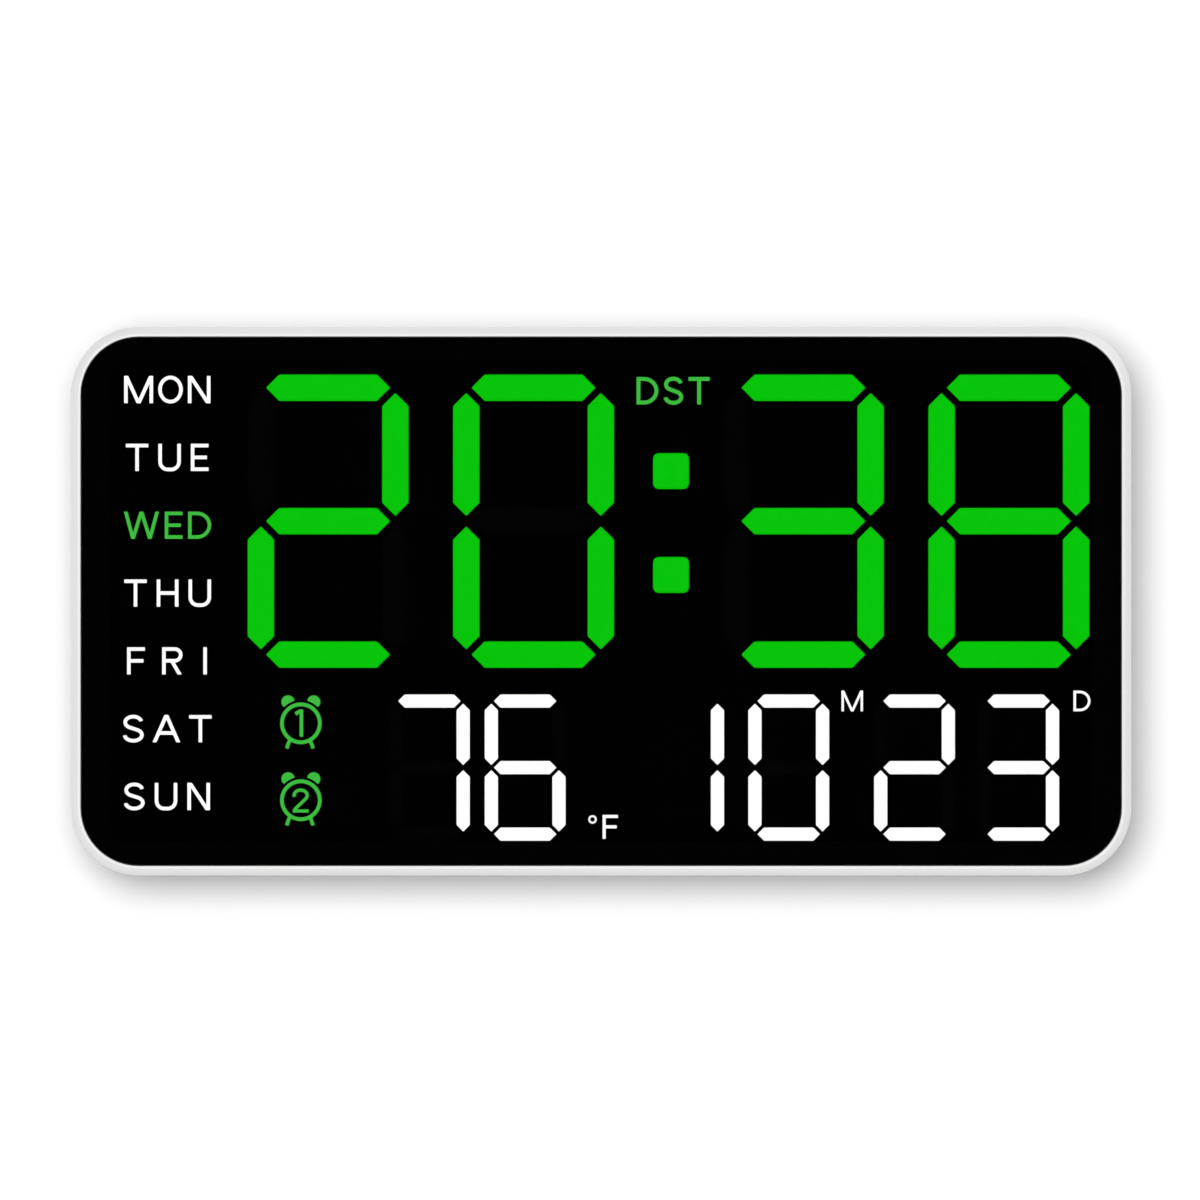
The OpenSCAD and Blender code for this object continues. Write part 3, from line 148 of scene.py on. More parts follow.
class Finish(NodeChain):
    """A material whose patterns are functions of the place on the surface, in metres."""

    def __init__(self, name):
        self.material = bpy.data.materials.new(name)
        self.material.use_nodes = True
        super().__init__(self.material.node_tree)
        self.shader = self.tree.nodes["Principled BSDF"]
        self.place = self.add("TexCoord", {}).outputs["Object"]

    def shade(self, sockets):
        """Feeds the shader and hands back the finished material."""
        for socket, value in sockets.items():
            self.feed(self.shader.inputs[socket], value)
        return self.material

    def stretched(self, x, y, z):
        """The place with each axis multiplied, so that a pattern becomes long along the smallest of them."""
        return self.add("Mapping", {"Vector": self.place, "Scale": (x, y, z)}).outputs["Vector"]

    def noise(self, lump, detail=2.0, place=None):
        """A cloud from 0 to 1 with lumps of that size in metres."""
        inputs = {"Vector": place or self.place, "Scale": 1 / lump, "Detail": detail}
        return self.add("TexNoise", inputs).outputs["Fac"]

    def cells(self, size):
        """Distance to the nearest of many scattered points, as foam cells show it."""
        return self.add("TexVoronoi", {"Vector": self.place, "Scale": 1 / size}).outputs["Distance"]

    def along(self, axis):
        """The place's own X, Y or Z, in metres."""
        return self.add("SeparateXYZ", {"Vector": self.place}).outputs[axis]

    def between(self, pattern, low, high, start=0.0, end=1.0):
        """A pattern from start to end as a number from low to high, held at both."""
        inputs = {"Value": pattern, "From Min": start, "From Max": end, "To Min": low, "To Max": high}
        return self.add("MapRange", inputs).outputs["Result"]

    def blend(self, pattern, first, second):
        """The first colour where the pattern is 0, and the second where it is 1."""
        node = self.add("Mix", {"Factor": pattern}, data_type="RGBA")
        for number, colour in zip(COLOUR_INPUTS, (first, second)):
            self.feed(node.inputs[number], colour)
        return node.outputs[COLOUR_OUTPUT]

    def relief(self, pattern, height):
        """A surface that looks raised by the pattern times a height in metres."""
        return self.add("Bump", {"Height": pattern, "Distance": height}).outputs["Normal"]

    def edges(self, reach):
        """0 on flat faces and 1 at sharp edges: how far the normal of a rounded edge leaves the face's."""
        rounded = self.add("Bevel", {"Radius": reach}, samples=EDGE_SAMPLES).outputs["Normal"]
        face = self.add("NewGeometry", {}).outputs["Normal"]
        same = self.add("VectorMath", {0: rounded, 1: face}, operation="DOT_PRODUCT").outputs["Value"]
        return self.between(same, 1.0, 0.0, SAME_AT_EDGE, SAME_ON_FACE)


def tint(colour, share):
    """A colour with each part multiplied by a share, as the four numbers that a socket takes."""
    return tuple(part * share for part in colour) + (1.0,)


def dress(finish, names):
    """Gives the named CAD nodes a finish."""
    for name in names:
        nodes[name].data.materials[0] = finish
    print(finish.name, "on", ", ".join(names))

# %% [markdown]
# ## Moulded plastic
# The case, the leg and the battery cap come from steel moulds. The mould's spark-eroded face leaves a fine
# grain, the flow of the melt leaves slow changes of tone, and hands polish the edges. Two clouds of very
# different size give the first two, and the edge mask lowers the roughness where the third happens.

# %% Make moulded plastics
FLOW_LUMP = 45 * MM
PATCH_LUMP = 7 * MM
GRAIN_LUMP = 0.45 * MM
GRAIN_HEIGHT = 0.008 * MM
WORN_EDGE = 0.35 * MM
POLISH = 0.14
PLASTIC_IOR = 1.5


def moulded_plastic(name, colour, roughness):
    """Tone follows a slow cloud, roughness a finer one less the edge mask, and relief a fine grain."""
    finish = Finish(name)
    patches = finish.between(finish.noise(PATCH_LUMP), roughness - 0.04, roughness + 0.05)
    polish = finish.math("MULTIPLY", finish.edges(WORN_EDGE), POLISH)
    return finish.shade({
        "Base Color": finish.blend(finish.noise(FLOW_LUMP), tint(colour, 0.975), tint(colour, 1.01)),
        "Roughness": finish.math("SUBTRACT", patches, polish),
        "Normal": finish.relief(finish.noise(GRAIN_LUMP, detail=3.0), GRAIN_HEIGHT),
        "IOR": PLASTIC_IOR,
    })


# Each row: the plastic's name, colour and roughness, and the nodes that are made of it.
KEYS = ("set", "up", "down", "alarm", "dimmer")
PLASTICS = (
    ("case_plastic", (0.92, 0.92, 0.915), 0.42, ("front_frame", "rear_cover", "stand_leg", "battery_cap")),
    ("reflector_plastic", (0.88, 0.88, 0.86), 0.5, ("light_box",)),
    ("button_plastic", (0.62, 0.63, 0.64), 0.45, [key + "_button" for key in KEYS]),
    ("plunger_plastic", (0.2, 0.2, 0.2), 0.45, [key + "_plunger" for key in KEYS]),
    ("black_plastic", (0.02, 0.02, 0.02), 0.45, ("buzzer", "switch_bodies", "power_jack")),
)
for name, colour, roughness, moulded in PLASTICS:
    dress(moulded_plastic(name, colour, roughness), moulded)

# %% [markdown]
# ## Smoked window
# The window is clear acrylic with a grey dye, polished on both faces. The dye takes about half of the light
# on each pass, so the dark display behind it vanishes and only lit parts show. Real refraction through the
# sheet is simple here, because the CAD window is a closed solid. Faint wipe marks vary the polish.

# %% Make the smoked window
DYE = 0.45
ACRYLIC_IOR = 1.49
WIPE_LUMP = 30 * MM
WIPE_STRETCH = (1, 1, 0.25)
WIPE_RANGE = (0.35, 0.75)
WIPE_ROUGHNESS = 0.03


def smoked_acrylic():
    """Clear refraction in a neutral dye, with roughness following a long thin cloud of wipe marks."""
    finish = Finish("smoked_acrylic")
    wipes = finish.noise(WIPE_LUMP, detail=3.0, place=finish.stretched(*WIPE_STRETCH))
    return finish.shade({
        "Base Color": (DYE, DYE, DYE, 1.0),
        "Roughness": finish.between(wipes, 0.0, WIPE_ROUGHNESS, *WIPE_RANGE),
        "Transmission Weight": 1.0,
        "IOR": ACRYLIC_IOR,
    })


dress(smoked_acrylic(), ("front_lens",))

# %% [markdown]
# ## Display film and diffusers
# A black film lies on the light box, with a clear opening for each segment. In each opening sits a milky
# block that spreads the light of the lamp behind it. Real lamps behind real diffusers would need many light
# paths for the same even glow, so the block itself gives off light. Its strength makes up for the dye. The
# photograph shows thin green strokes paler than the wide segments, so they get a green of their own.

# %% Make the display's finishes
SURFACE_PASS = 0.92
GLOW_GREEN = (0.0012, 0.545, 0.0018)
GLOW_PALE_GREEN = (0.045, 0.47, 0.048)
GLOW_WHITE = (0.98, 0.98, 0.98)
MATT = 0.08
INK_MATT = 0.02
INK_BLACK = (0.002, 0.002, 0.0022)
FINE_RELIEF = 0.004 * MM


def printed_film():
    """Black ink whose tone follows a fine cloud, with the weave of a printing screen as relief."""
    finish = Finish("printed_film")
    return finish.shade({
        "Base Color": finish.blend(finish.noise(2 * MM), tint(INK_BLACK, 0.7), tint(INK_BLACK, 1.0)),
        "Roughness": finish.between(finish.noise(5 * MM), 0.5, 0.65),
        "Normal": finish.relief(finish.cells(0.25 * MM), FINE_RELIEF),
        "Specular IOR Level": INK_MATT,
    })


def diffuser(name, body, darkest, glow=None):
    """A milky block. Its glow is the light that is seen, divided by what the window lets through."""
    finish = Finish(name)
    sockets = {
        "Base Color": finish.blend(finish.noise(1.5 * MM), tint(body, darkest), tint(body, 1.0)),
        "Roughness": finish.between(finish.noise(3 * MM), 0.5, 0.62),
        "Normal": finish.relief(finish.noise(0.2 * MM), FINE_RELIEF),
        "Specular IOR Level": MATT,
    }
    if glow:
        sockets["Emission Color"] = tint(glow, 1 / max(glow))
        sockets["Emission Strength"] = max(glow) / (DYE * SURFACE_PASS)
    return finish.shade(sockets)


LIT_DARKEST = 0.94
UNLIT_DARKEST = 0.9
TIME_DIGITS = ("hour_tens_digit", "hour_ones_digit", "minute_tens_digit", "minute_ones_digit")
DATE_PLACES = ("temperature", "month", "day")
black_print = printed_film()
lit_green = diffuser("lit_green_diffuser", (0.01, 0.1, 0.01), LIT_DARKEST, GLOW_GREEN)
pale_green = diffuser("pale_green_diffuser", (0.02, 0.1, 0.02), LIT_DARKEST, GLOW_PALE_GREEN)
lit_white = diffuser("lit_white_diffuser", (0.4, 0.4, 0.4), LIT_DARKEST, GLOW_WHITE)
dark_milk = diffuser("dark_diffuser", (0.006, 0.006, 0.0065), UNLIT_DARKEST)
white_milk = diffuser("milky_diffuser", (0.7, 0.7, 0.68), UNLIT_DARKEST)
dress(black_print, ("display_film",))
dress(lit_green, TIME_DIGITS + ("colon_dots",))
dress(lit_white, [place + rank for place in DATE_PLACES for rank in ("_tens_digit", "_ones_digit")])
dress(dark_milk, ("dark_segments",))
dress(white_milk, ("label_diffusers",))

# %% [markdown]
# ## Circuit board and its parts
# Nobody sees the board with the case closed, yet the part can be opened up. A board is green lacquer over
# copper tracks, so a brick pattern on its face gives straight tracks of one width. Chips are black resin
# with tinned legs at two ends, and the place along Z tells body from legs.

# %% Make the board's finishes
TRACK_WIDTH = 0.25 * MM
TRACK_RUN = 9 * MM
TRACK_PITCH = 1.6 * MM
TRACK_RISE = 0.03 * MM
LEG_REACH = 1.0 * MM


def solder_mask():
    """Green lacquer, lighter and raised over tracks that follow the joints of a brick pattern."""
    finish = Finish("solder_mask")
    upright = {"Vector": finish.place, "Rotation": (math.radians(90), 0, 0)}
    tracks = finish.add("TexBrick", {
        "Vector": finish.add("Mapping", upright).outputs["Vector"],
        "Scale": 1.0,
        "Mortar Size": TRACK_WIDTH,
        "Brick Width": TRACK_RUN,
        "Row Height": TRACK_PITCH,
    }).outputs["Fac"]
    return finish.shade({
        "Base Color": finish.blend(tracks, (0.014, 0.11, 0.04, 1.0), (0.03, 0.22, 0.08, 1.0)),
        "Roughness": finish.between(finish.noise(6 * MM), 0.24, 0.36),
        "Normal": finish.relief(tracks, TRACK_RISE),
    })


def chip_resin(name, body_low, body_high):
    """Black resin between two heights, and tinned metal beyond them."""
    finish = Finish(name)
    height = finish.along("Z")
    above = finish.math("GREATER_THAN", height, body_high)
    below = finish.math("LESS_THAN", height, body_low)
    legs = finish.math("MAXIMUM", above, below)
    return finish.shade({
        "Base Color": finish.blend(legs, (0.018, 0.018, 0.019, 1.0), (0.7, 0.69, 0.67, 1.0)),
        "Metallic": legs,
        "Roughness": finish.between(finish.noise(0.4 * MM, detail=3.0), 0.35, 0.6),
        "Normal": finish.relief(finish.noise(0.15 * MM), FINE_RELIEF),
    })


def lamp_body(name, lens):
    """A pale housing with patches of its lens resin's colour, in a slow cloud."""
    finish = Finish(name)
    resin = finish.between(finish.noise(2 * MM), 0.0, 1.0, 0.4, 0.6)
    return finish.shade({
        "Base Color": finish.blend(resin, (0.82, 0.81, 0.76, 1.0), lens),
        "Roughness": finish.between(resin, 0.45, 0.2),
        "Normal": finish.relief(finish.noise(0.3 * MM), FINE_RELIEF),
    })


dress(solder_mask(), ("display_board",))
for chip in ("controller_chip", "driver_chips"):
    chip_low, chip_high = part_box(chip)
    dress(chip_resin(chip + "_resin", chip_low.z + LEG_REACH, chip_high.z - LEG_REACH), (chip,))
dress(lamp_body("green_lamp_body", (0.3, 0.6, 0.25, 1.0)), ("green_leds",))
dress(lamp_body("white_lamp_body", (0.85, 0.75, 0.25, 1.0)), ("white_leds",))

# %% [markdown]
# ## Plated metal
# Plated metal is seldom smooth: rolling and tumbling leave fine lines along one direction. A picture of such
# lines would have to be laid out on every face, so a cloud is squeezed hard across that direction instead.
# Nickel on contacts is brighter than the zinc on screws.

# %% Make the metals
LINE_STRETCH = (0.15, 4, 4)


def plated_metal(name, colour, roughness):
    """Metal with roughness and relief that follow fine lines along X."""
    finish = Finish(name)
    lines = finish.noise(1 * MM, detail=3.0, place=finish.stretched(*LINE_STRETCH))
    return finish.shade({
        "Base Color": finish.blend(finish.noise(5 * MM), tint(colour, 0.9), tint(colour, 1.0)),
        "Metallic": 1.0,
        "Roughness": finish.between(lines, roughness - 0.08, roughness + 0.12),
        "Normal": finish.relief(lines, 0.003 * MM),
    })


CONTACTS = ("clock_crystal", "coin_cell", "battery_plus_contact", "battery_minus_contact", "jack_pin")
dress(plated_metal("nickel_plate", (0.72, 0.71, 0.68), 0.26), CONTACTS)
dress(plated_metal("zinc_plate", (0.55, 0.55, 0.56), 0.34), ("case_screws", "module_screws", "board_screws"))

# %% [markdown]
# ## Wire, tape and resin
# Insulated wire is soft and dull, and the two wires of a pair differ in colour. Each pair is one piece of the
# frame with one finish, so the place along X tells its wires apart. Foam tape shows its open cells, a
# capacitor wears a printed sleeve, and a thermistor is a bead dipped in resin.

# %% Make the small parts' finishes
def wire_sheath(name, split):
    """Soft insulation, red on one side of a place along X and black on the other."""
    finish = Finish(name)
    side = finish.math("GREATER_THAN", finish.along("X"), split)
    return finish.shade({
        "Base Color": finish.blend(side, (0.03, 0.03, 0.03, 1.0), (0.45, 0.02, 0.02, 1.0)),
        "Roughness": finish.between(finish.noise(1.5 * MM), 0.5, 0.65),
        "Normal": finish.relief(finish.noise(0.3 * MM), FINE_RELIEF),
    })


def foam_tape():
    """Grey foam whose tone and relief follow its cells."""
    finish = Finish("foam_tape")
    cells = finish.cells(0.3 * MM)
    return finish.shade({
        "Base Color": finish.blend(cells, (0.1, 0.1, 0.1, 1.0), (0.05, 0.05, 0.05, 1.0)),
        "Roughness": finish.between(cells, 0.8, 0.95),
        "Normal": finish.relief(cells, 0.05 * MM),
    })


def shrink_sleeve(stripe_end, top):
    """A dark sleeve with a pale stripe up to one place along X, and bare metal above one place along Y."""
    finish = Finish("shrink_sleeve")
    stripe = finish.math("LESS_THAN", finish.along("X"), stripe_end)
    metal = finish.math("GREATER_THAN", finish.along("Y"), top)
    sleeve = finish.blend(stripe, (0.02, 0.03, 0.1, 1.0), (0.45, 0.47, 0.5, 1.0))
    return finish.shade({
        "Base Color": finish.blend(metal, sleeve, (0.75, 0.75, 0.76, 1.0)),
        "Metallic": metal,
        "Roughness": finish.between(finish.noise(2 * MM), 0.22, 0.36),
        "Normal": finish.relief(finish.noise(0.8 * MM), 0.006 * MM),
    })


def dipped_resin():
    """A glossy brown bead with the slow unevenness of a dip."""
    finish = Finish("dipped_resin")
    return finish.shade({
        "Base Color": finish.blend(finish.noise(1 * MM), (0.14, 0.05, 0.02, 1.0), (0.24, 0.09, 0.04, 1.0)),
        "Roughness": finish.between(finish.noise(0.8 * MM), 0.15, 0.3),
        "Normal": finish.relief(finish.noise(1 * MM), 0.02 * MM),
    })


STRIPE_SHARE = 0.25
METAL_TOP = 0.6 * MM
for leads in ("battery_leads", "power_leads"):
    lead_low, lead_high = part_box(leads)
    dress(wire_sheath(leads + "_sheath", (lead_low.x + lead_high.x) / 2), (leads,))
sleeve_low, sleeve_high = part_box("supply_capacitor")
stripe_end = sleeve_low.x + STRIPE_SHARE * (sleeve_high.x - sleeve_low.x)
dress(shrink_sleeve(stripe_end, sleeve_high.y - METAL_TOP), ("supply_capacitor",))
dress(foam_tape(), ("lens_tape",))
dress(dipped_resin(), ("thermistor",))

# %% [markdown]
# ## Strokes for words and signs
# The words are openings in the film that glow. A font file would bring its own shapes, and Blender's text
# tool would bring one more object type, so a few strokes are enough: a capital is bars, slants and arcs of
# one thickness. Each stroke is a flat band, given by its two edges in millimetres and by whether it closes.

# %% Draw strokes
ARC_STEPS = 32


def bar(x0, z0, x1, z1):
    """An upright rectangle between two corners, as its left and right edge."""
    return np.array([[[x0, z0], [x0, z1]], [[x1, z0], [x1, z1]]]), False


def slant(foot, head, thick, z0, z1):
    """A leaning bar with level ends, as wide as the thickness times the square root of 1 + lean squared."""
    half = thick / 2 * math.hypot(1, (head - foot) / (z1 - z0))
    edges = [[[foot + side, z0], [head + side, z1]] for side in (-half, half)]
    return np.array(edges), False


def arc(x, z, rx, rz, start, end, steps=ARC_STEPS):
    """Points of an elliptic arc: the middle plus each radius times the cosine or sine of even angles."""
    angle = np.radians(np.linspace(start, end, steps))
    return np.column_stack([x + rx * np.cos(angle), z + rz * np.sin(angle)])


def stroke(path, thick, closed=False):
    """Both edges of a band along a path: half a thickness to each side, along the mitre of the two stretches
    that meet at a point. With unit normals n and m, the mitre is (n + m) / (1 + n.m)."""
    path = np.asarray(path, float)
    after = np.roll(path, -1, axis=0) - path
    before = np.roll(after, 1, axis=0)
    if not closed:
        after[-1] = before[-1]
        before[0] = after[0]
    turned = [np.column_stack([-way[:, 1], way[:, 0]]) for way in (before, after)]
    n, m = [way / np.hypot(*way.T)[:, None] for way in turned]
    mitre = (n + m) / (1 + (n * m).sum(axis=1, keepdims=True))
    return np.stack([path + mitre * thick / 2, path - mitre * thick / 2]), closed


def moved(strokes, x, z):
    """The same strokes, shifted."""
    return [(edges + (x, z), closed) for edges, closed in strokes]

# %% [markdown]
# ## From strokes to a piece
# A flat face would do for print, but the part's meshes are kept as solids. So each band gets a shallow box
# section, which is carried along it, and all bands of one word or sign become one closed piece.

# %% Give strokes a depth
def raised(name, strokes, front, back, body, finish):
    """One mesh of bands. A band's section is a box: left and right edge at the front, then right and left
    edge at the back. Walls join each corner of it to the next, and an open band gets two end faces."""
    points = []
    faces = []
    start = 0
    for edges, closed in strokes:
        count = edges.shape[1]
        corners = np.stack([edges[0], edges[1], edges[1], edges[0]]) * MM
        depth = np.repeat([front, front, back, back], count).reshape(4, count)
        points.append(np.stack([corners[..., 0], depth, corners[..., 1]], axis=2).reshape(-1, 3))
        ids = start + np.arange(4 * count).reshape(4, count)
        beside = np.roll(ids, -1, axis=0)
        walls = np.stack([ids, beside, np.roll(beside, -1, axis=1), np.roll(ids, -1, axis=1)], axis=2)
        faces += (walls if closed else walls[:, :-1]).reshape(-1, 4).tolist()
        if not closed:
            faces += [ids[::-1, 0].tolist(), ids[:, -1].tolist()]
        start += 4 * count
    mesh = bpy.data.meshes.new(name)
    mesh.from_pydata(np.concatenate(points).tolist(), [], faces)
    mesh.materials.append(finish)
    piece = bpy.data.objects.new(name, mesh)
    scene.collection.objects.link(piece)
    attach(piece, body)
    print(name, len(strokes), "strokes,", len(faces), "faces")

# %% [markdown]
# ## Parts of capitals
# The display's words are set in a plain geometric capital: even strokes, round bowls, and slants that end
# level with the line. Each capital is drawn in a box of width w and height h with stroke t, from its lower
# left corner, so one set serves every size on the display. These parts turn up in more than one letter or
# need more than one line.

# %% Draw the parts
RING_STEPS = 64
BOWL_ROUND = 1.05
CUP_TURN = 0.82
SNAKE_RISE = 0.238
SNAKE_UPPER_REACH = 0.94
SNAKE_UPPER = (12, 236)
SNAKE_LOWER = (56, -176)


def stem(left, h, t):
    """An upright bar from the line up to a height."""
    return bar(left, 0, left + t, h)


def beam(left, right, middle, t):
    """A level bar of the stroke's thickness about a height."""
    return bar(left, middle - t / 2, right, middle + t / 2)


def lean(foot, head, w, h, t):
    """A slant over the full height, between two shares of the width, kept inside the letter's box."""
    half = t / 2 * math.hypot(1, (head - foot) * w / h)
    return slant(*np.clip((foot * w, head * w), half, w - half), t, 0, h)


def bowl(w, low, high, t):
    """The round side of a D or R: two level runs joined by half an ellipse on the right."""
    rise = (high - low - t) / 2
    reach = min(w - t - t / 2, rise * BOWL_ROUND)
    turn = arc(w - t / 2 - reach, (low + high) / 2, reach, rise, 90, -90)
    return stroke(np.vstack([[t, high - t / 2], turn, [t, low + t / 2]]), t)


def cup(w, h, t):
    """A U: two upright runs and a short level one, joined by two quarter circles."""
    turn = CUP_TURN * (w - t) / 2
    left = arc(t / 2 + turn, t / 2 + turn, turn, turn, 180, 270)
    right = arc(w - t / 2 - turn, t / 2 + turn, turn, turn, 270, 360)
    return stroke(np.vstack([[t / 2, h], left, right, [w - t / 2, h]]), t)


def snake(w, h, t):
    """An S: an upper arc that turns left and a wider lower one that turns right, joined by a leaning run."""
    rise = SNAKE_RISE * (h - t)
    reach = (w - t) / 2
    upper = arc(w / 2, h - t / 2 - rise, SNAKE_UPPER_REACH * reach, rise, *SNAKE_UPPER)
    lower = arc(w / 2, t / 2 + rise, reach, rise, *SNAKE_LOWER)
    return stroke(np.vstack([upper, lower]), t)


def oval(w, h, t):
    """An O: one closed ellipse."""
    turn = arc(w / 2, h / 2, (w - t) / 2, (h - t) / 2, 0, 360, RING_STEPS + 1)
    return stroke(turn[:-1], t, True)

# %% [markdown]
# ## Capitals and words
# A table of small functions gives each capital from those parts, and another its width as a share of its
# height. Round letters stand a hair over the line at head and foot, because they look too small otherwise. A
# word is spread over a given span, as the photograph shows it, and not by the letters' own spacing.

# %% Set the capitals and words
OVERSHOOT = 0.01
A_BAR_Z = 0.34
A_BAR = (0.2, 0.8)
E_MIDDLE = 0.91
F_MIDDLE = 0.92
R_WAIST = 0.44
R_LEG_TOP = 0.46
R_LEG = (0.86, 0.5)
W_SLANTS = ((0.26, 0), (0.26, 0.5), (0.74, 0.5), (0.74, 1))
LETTER_WIDTH = {
    "A": 1.022, "D": 0.85, "E": 0.65, "F": 0.657, "H": 0.8, "I": 0.395, "M": 1.065, "N": 0.83,
    "O": 0.904, "R": 0.75, "S": 0.762, "T": 0.825, "U": 0.828, "W": 1.3,
}


def overshot(draw, w, h, t):
    """A round capital that stands over its line at head and foot."""
    return moved([draw(w, h * (1 + 2 * OVERSHOOT), t)], 0, -OVERSHOOT * h)


CAPITALS = {
    "A": lambda w, h, t: [
        lean(0, 0.5, w, h, t), lean(1, 0.5, w, h, t), beam(A_BAR[0] * w, A_BAR[1] * w, A_BAR_Z * h, t),
    ],
    "D": lambda w, h, t: [stem(0, h, t), bowl(w, 0, h, t)],
    "E": lambda w, h, t: [
        stem(0, h, t), beam(t, E_MIDDLE * w, h / 2, t), beam(t, w, t / 2, t), beam(t, w, h - t / 2, t),
    ],
    "F": lambda w, h, t: [stem(0, h, t), beam(t, w, h - t / 2, t), beam(t, F_MIDDLE * w, h / 2, t)],
    "H": lambda w, h, t: [stem(0, h, t), stem(w - t, h, t), beam(t, w - t, h / 2, t)],
    "I": lambda w, h, t: [stem((w - t) / 2, h, t)],
    "M": lambda w, h, t: [stem(0, h, t), stem(w - t, h, t), lean(0.5, 0, w, h, t), lean(0.5, 1, w, h, t)],
    "N": lambda w, h, t: [stem(0, h, t), stem(w - t, h, t), lean(1, 0, w, h, t)],
    "O": lambda w, h, t: overshot(oval, w, h, t),
    "R": lambda w, h, t: [
        stem(0, h, t), bowl(w, R_WAIST * h, h, t), slant(R_LEG[0] * w, R_LEG[1] * w, t, 0, R_LEG_TOP * h),
    ],
    "S": lambda w, h, t: overshot(snake, w, h, t),
    "T": lambda w, h, t: [beam(0, w, h - t / 2, t), stem((w - t) / 2, h - t, t)],
    "U": lambda w, h, t: moved([cup(w, h * (1 + OVERSHOOT), t)], 0, -OVERSHOOT * h),
    "W": lambda w, h, t: [lean(foot, head, w, h, t) for foot, head in W_SLANTS],
}


def word(text, left, right, middle_z, height, thick, narrow=1.0):
    """Capitals spread from left to right with equal gaps: what the letters leave of the span, shared out."""
    widths = [LETTER_WIDTH[sign] * height * narrow for sign in text]
    gap = (right - left - sum(widths)) / max(1, len(text) - 1)
    strokes = []
    for sign, width in zip(text, widths):
        strokes += moved(CAPITALS[sign](width, height, thick), left, middle_z - height / 2)
        left += width + gap
    return strokes

# %% [markdown]
# ## Printed border
# A band of black print on the back of the window hides the tape, the ledge under it and the slit round the
# film, where the white case would show. On the real window it is a few hundredths of a millimetre of ink, so
# it is one thin band between two rectangles with round corners: the window's edge and a line on the film.

# %% Print the border
WINDOW_CORNER = 15.8
FILM_CORNER = 6.5
CORNER_STEPS = 16
EDGE_INSET = 0.1
FILM_COVER = 1.3
INK = 0.02 * MM
SEAT = 0.01 * MM


def inset_outline(node, corner, inset):
    """The outline of a plate with round corners, moved inwards: four quarter circles about the corners of a
    smaller rectangle, whose ends the straight sides join."""
    low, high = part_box(node)
    middle = (low + high) / 2 / MM
    half = (high - low) / 2 / MM
    radius = corner - inset
    turns = []
    for side, rise, start in ((1, 1, 0), (-1, 1, 90), (-1, -1, 180), (1, -1, 270)):
        x = middle.x + side * (half.x - corner)
        z = middle.z + rise * (half.z - corner)
        turns.append(arc(x, z, radius, radius, start, start + 90, CORNER_STEPS))
    return np.vstack(turns)


inner_line = inset_outline("display_film", FILM_CORNER, FILM_COVER)
outer_line = inset_outline("front_lens", WINDOW_CORNER, EDGE_INSET)
border = [(np.stack([inner_line, outer_line]), True)]
window_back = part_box("front_lens")[1].y
raised("window_border", border, window_back - SEAT, window_back + INK, "case", black_print)

# %% [markdown]
# ## Weekday column
# Seven weekday names stand in a column at the left, spread to one common width, and today's is lit green.
# On the real film they are clear openings. Here thin glowing bands lie on the film's front: they look the
# same through the window, and the frame's film stays as it is. Its front face gives their depth.

# %% Light the weekdays
LIGHT_RISE = 0.06 * MM
WEEKDAYS = ("MON", "TUE", "WED", "THU", "FRI", "SAT", "SUN")
TODAY = "WED"
WEEKDAY_MIDDLE = -118.63
WEEKDAY_SPAN = 23.9
WEEKDAY_TOP = 132.9
WEEKDAY_PITCH = 18.55
WEEKDAY_HEIGHT = 7.42
WEEKDAY_STROKE = 0.96
# How far each name stays inside the column at its left and right. It sticks out where that is negative.
SIDE_BEARING = {
    "MON": (0.1, 0.2), "TUE": (0.57, 0.73), "WED": (0, 0), "THU": (0.14, 0.05),
    "FRI": (0.9, 0.2), "SAT": (-0.22, -0.1), "SUN": (0.04, 0.34),
}
film_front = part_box("display_film")[0].y


def lit(name, strokes, green):
    """A lit word or sign on the front of the film."""
    finish = pale_green if green else lit_white
    raised(name, strokes, film_front - LIGHT_RISE, film_front + SEAT, "case", finish)


for row, day in enumerate(WEEKDAYS):
    inset_left, inset_right = SIDE_BEARING[day]
    left = WEEKDAY_MIDDLE - WEEKDAY_SPAN / 2 + inset_left
    right = WEEKDAY_MIDDLE + WEEKDAY_SPAN / 2 - inset_right
    day_z = WEEKDAY_TOP - row * WEEKDAY_PITCH
    strokes = word(day, left, right, day_z, WEEKDAY_HEIGHT, WEEKDAY_STROKE)
    lit("weekday_" + day.lower(), strokes, day == TODAY)

# %% [markdown]
# ## Small words and the degree sign
# A word above the colon tells that summer time is on, two letters mark month and day, and a ring with a
# letter names the unit of temperature. They use the same capitals at other sizes, so a table is enough.

# %% Light the small words
# Each row: the piece's name and text, its middle and span along X, its middle along Z, its height and stroke,
# the share by which its letters are narrowed, and whether it is green.
SMALL_WORDS = (
    ("word_summer_time", "DST", 19.67, 20.0, 132.58, 7.5, 1.05, 0.935, True),
    ("letter_month", "M", 68.73, 6.0, 47.73, 5.63, 0.65, 0.98, False),
    ("letter_day", "D", 131.49, 4.62, 47.73, 5.63, 0.69, 0.97, False),
    ("unit_letter", "F", 2.48, 4.2, 13.3, 6.52, 0.84, 0.98, False),
)
DEGREE_PLACE = (-2.37, 15.33)
DEGREE_RADIUS = 1.15
DEGREE_STROKE = 0.5


def ring(radius, thick):
    """A closed circle by its outer radius."""
    return moved([oval(2 * radius, 2 * radius, thick)], -radius, -radius)


for name, text, middle, span, word_z, height, thick, narrow, green in SMALL_WORDS:
    strokes = word(text, middle - span / 2, middle + span / 2, word_z, height, thick, narrow)
    lit(name, strokes, green)
lit("unit_degree", moved(ring(DEGREE_RADIUS, DEGREE_STROKE), *DEGREE_PLACE), False)

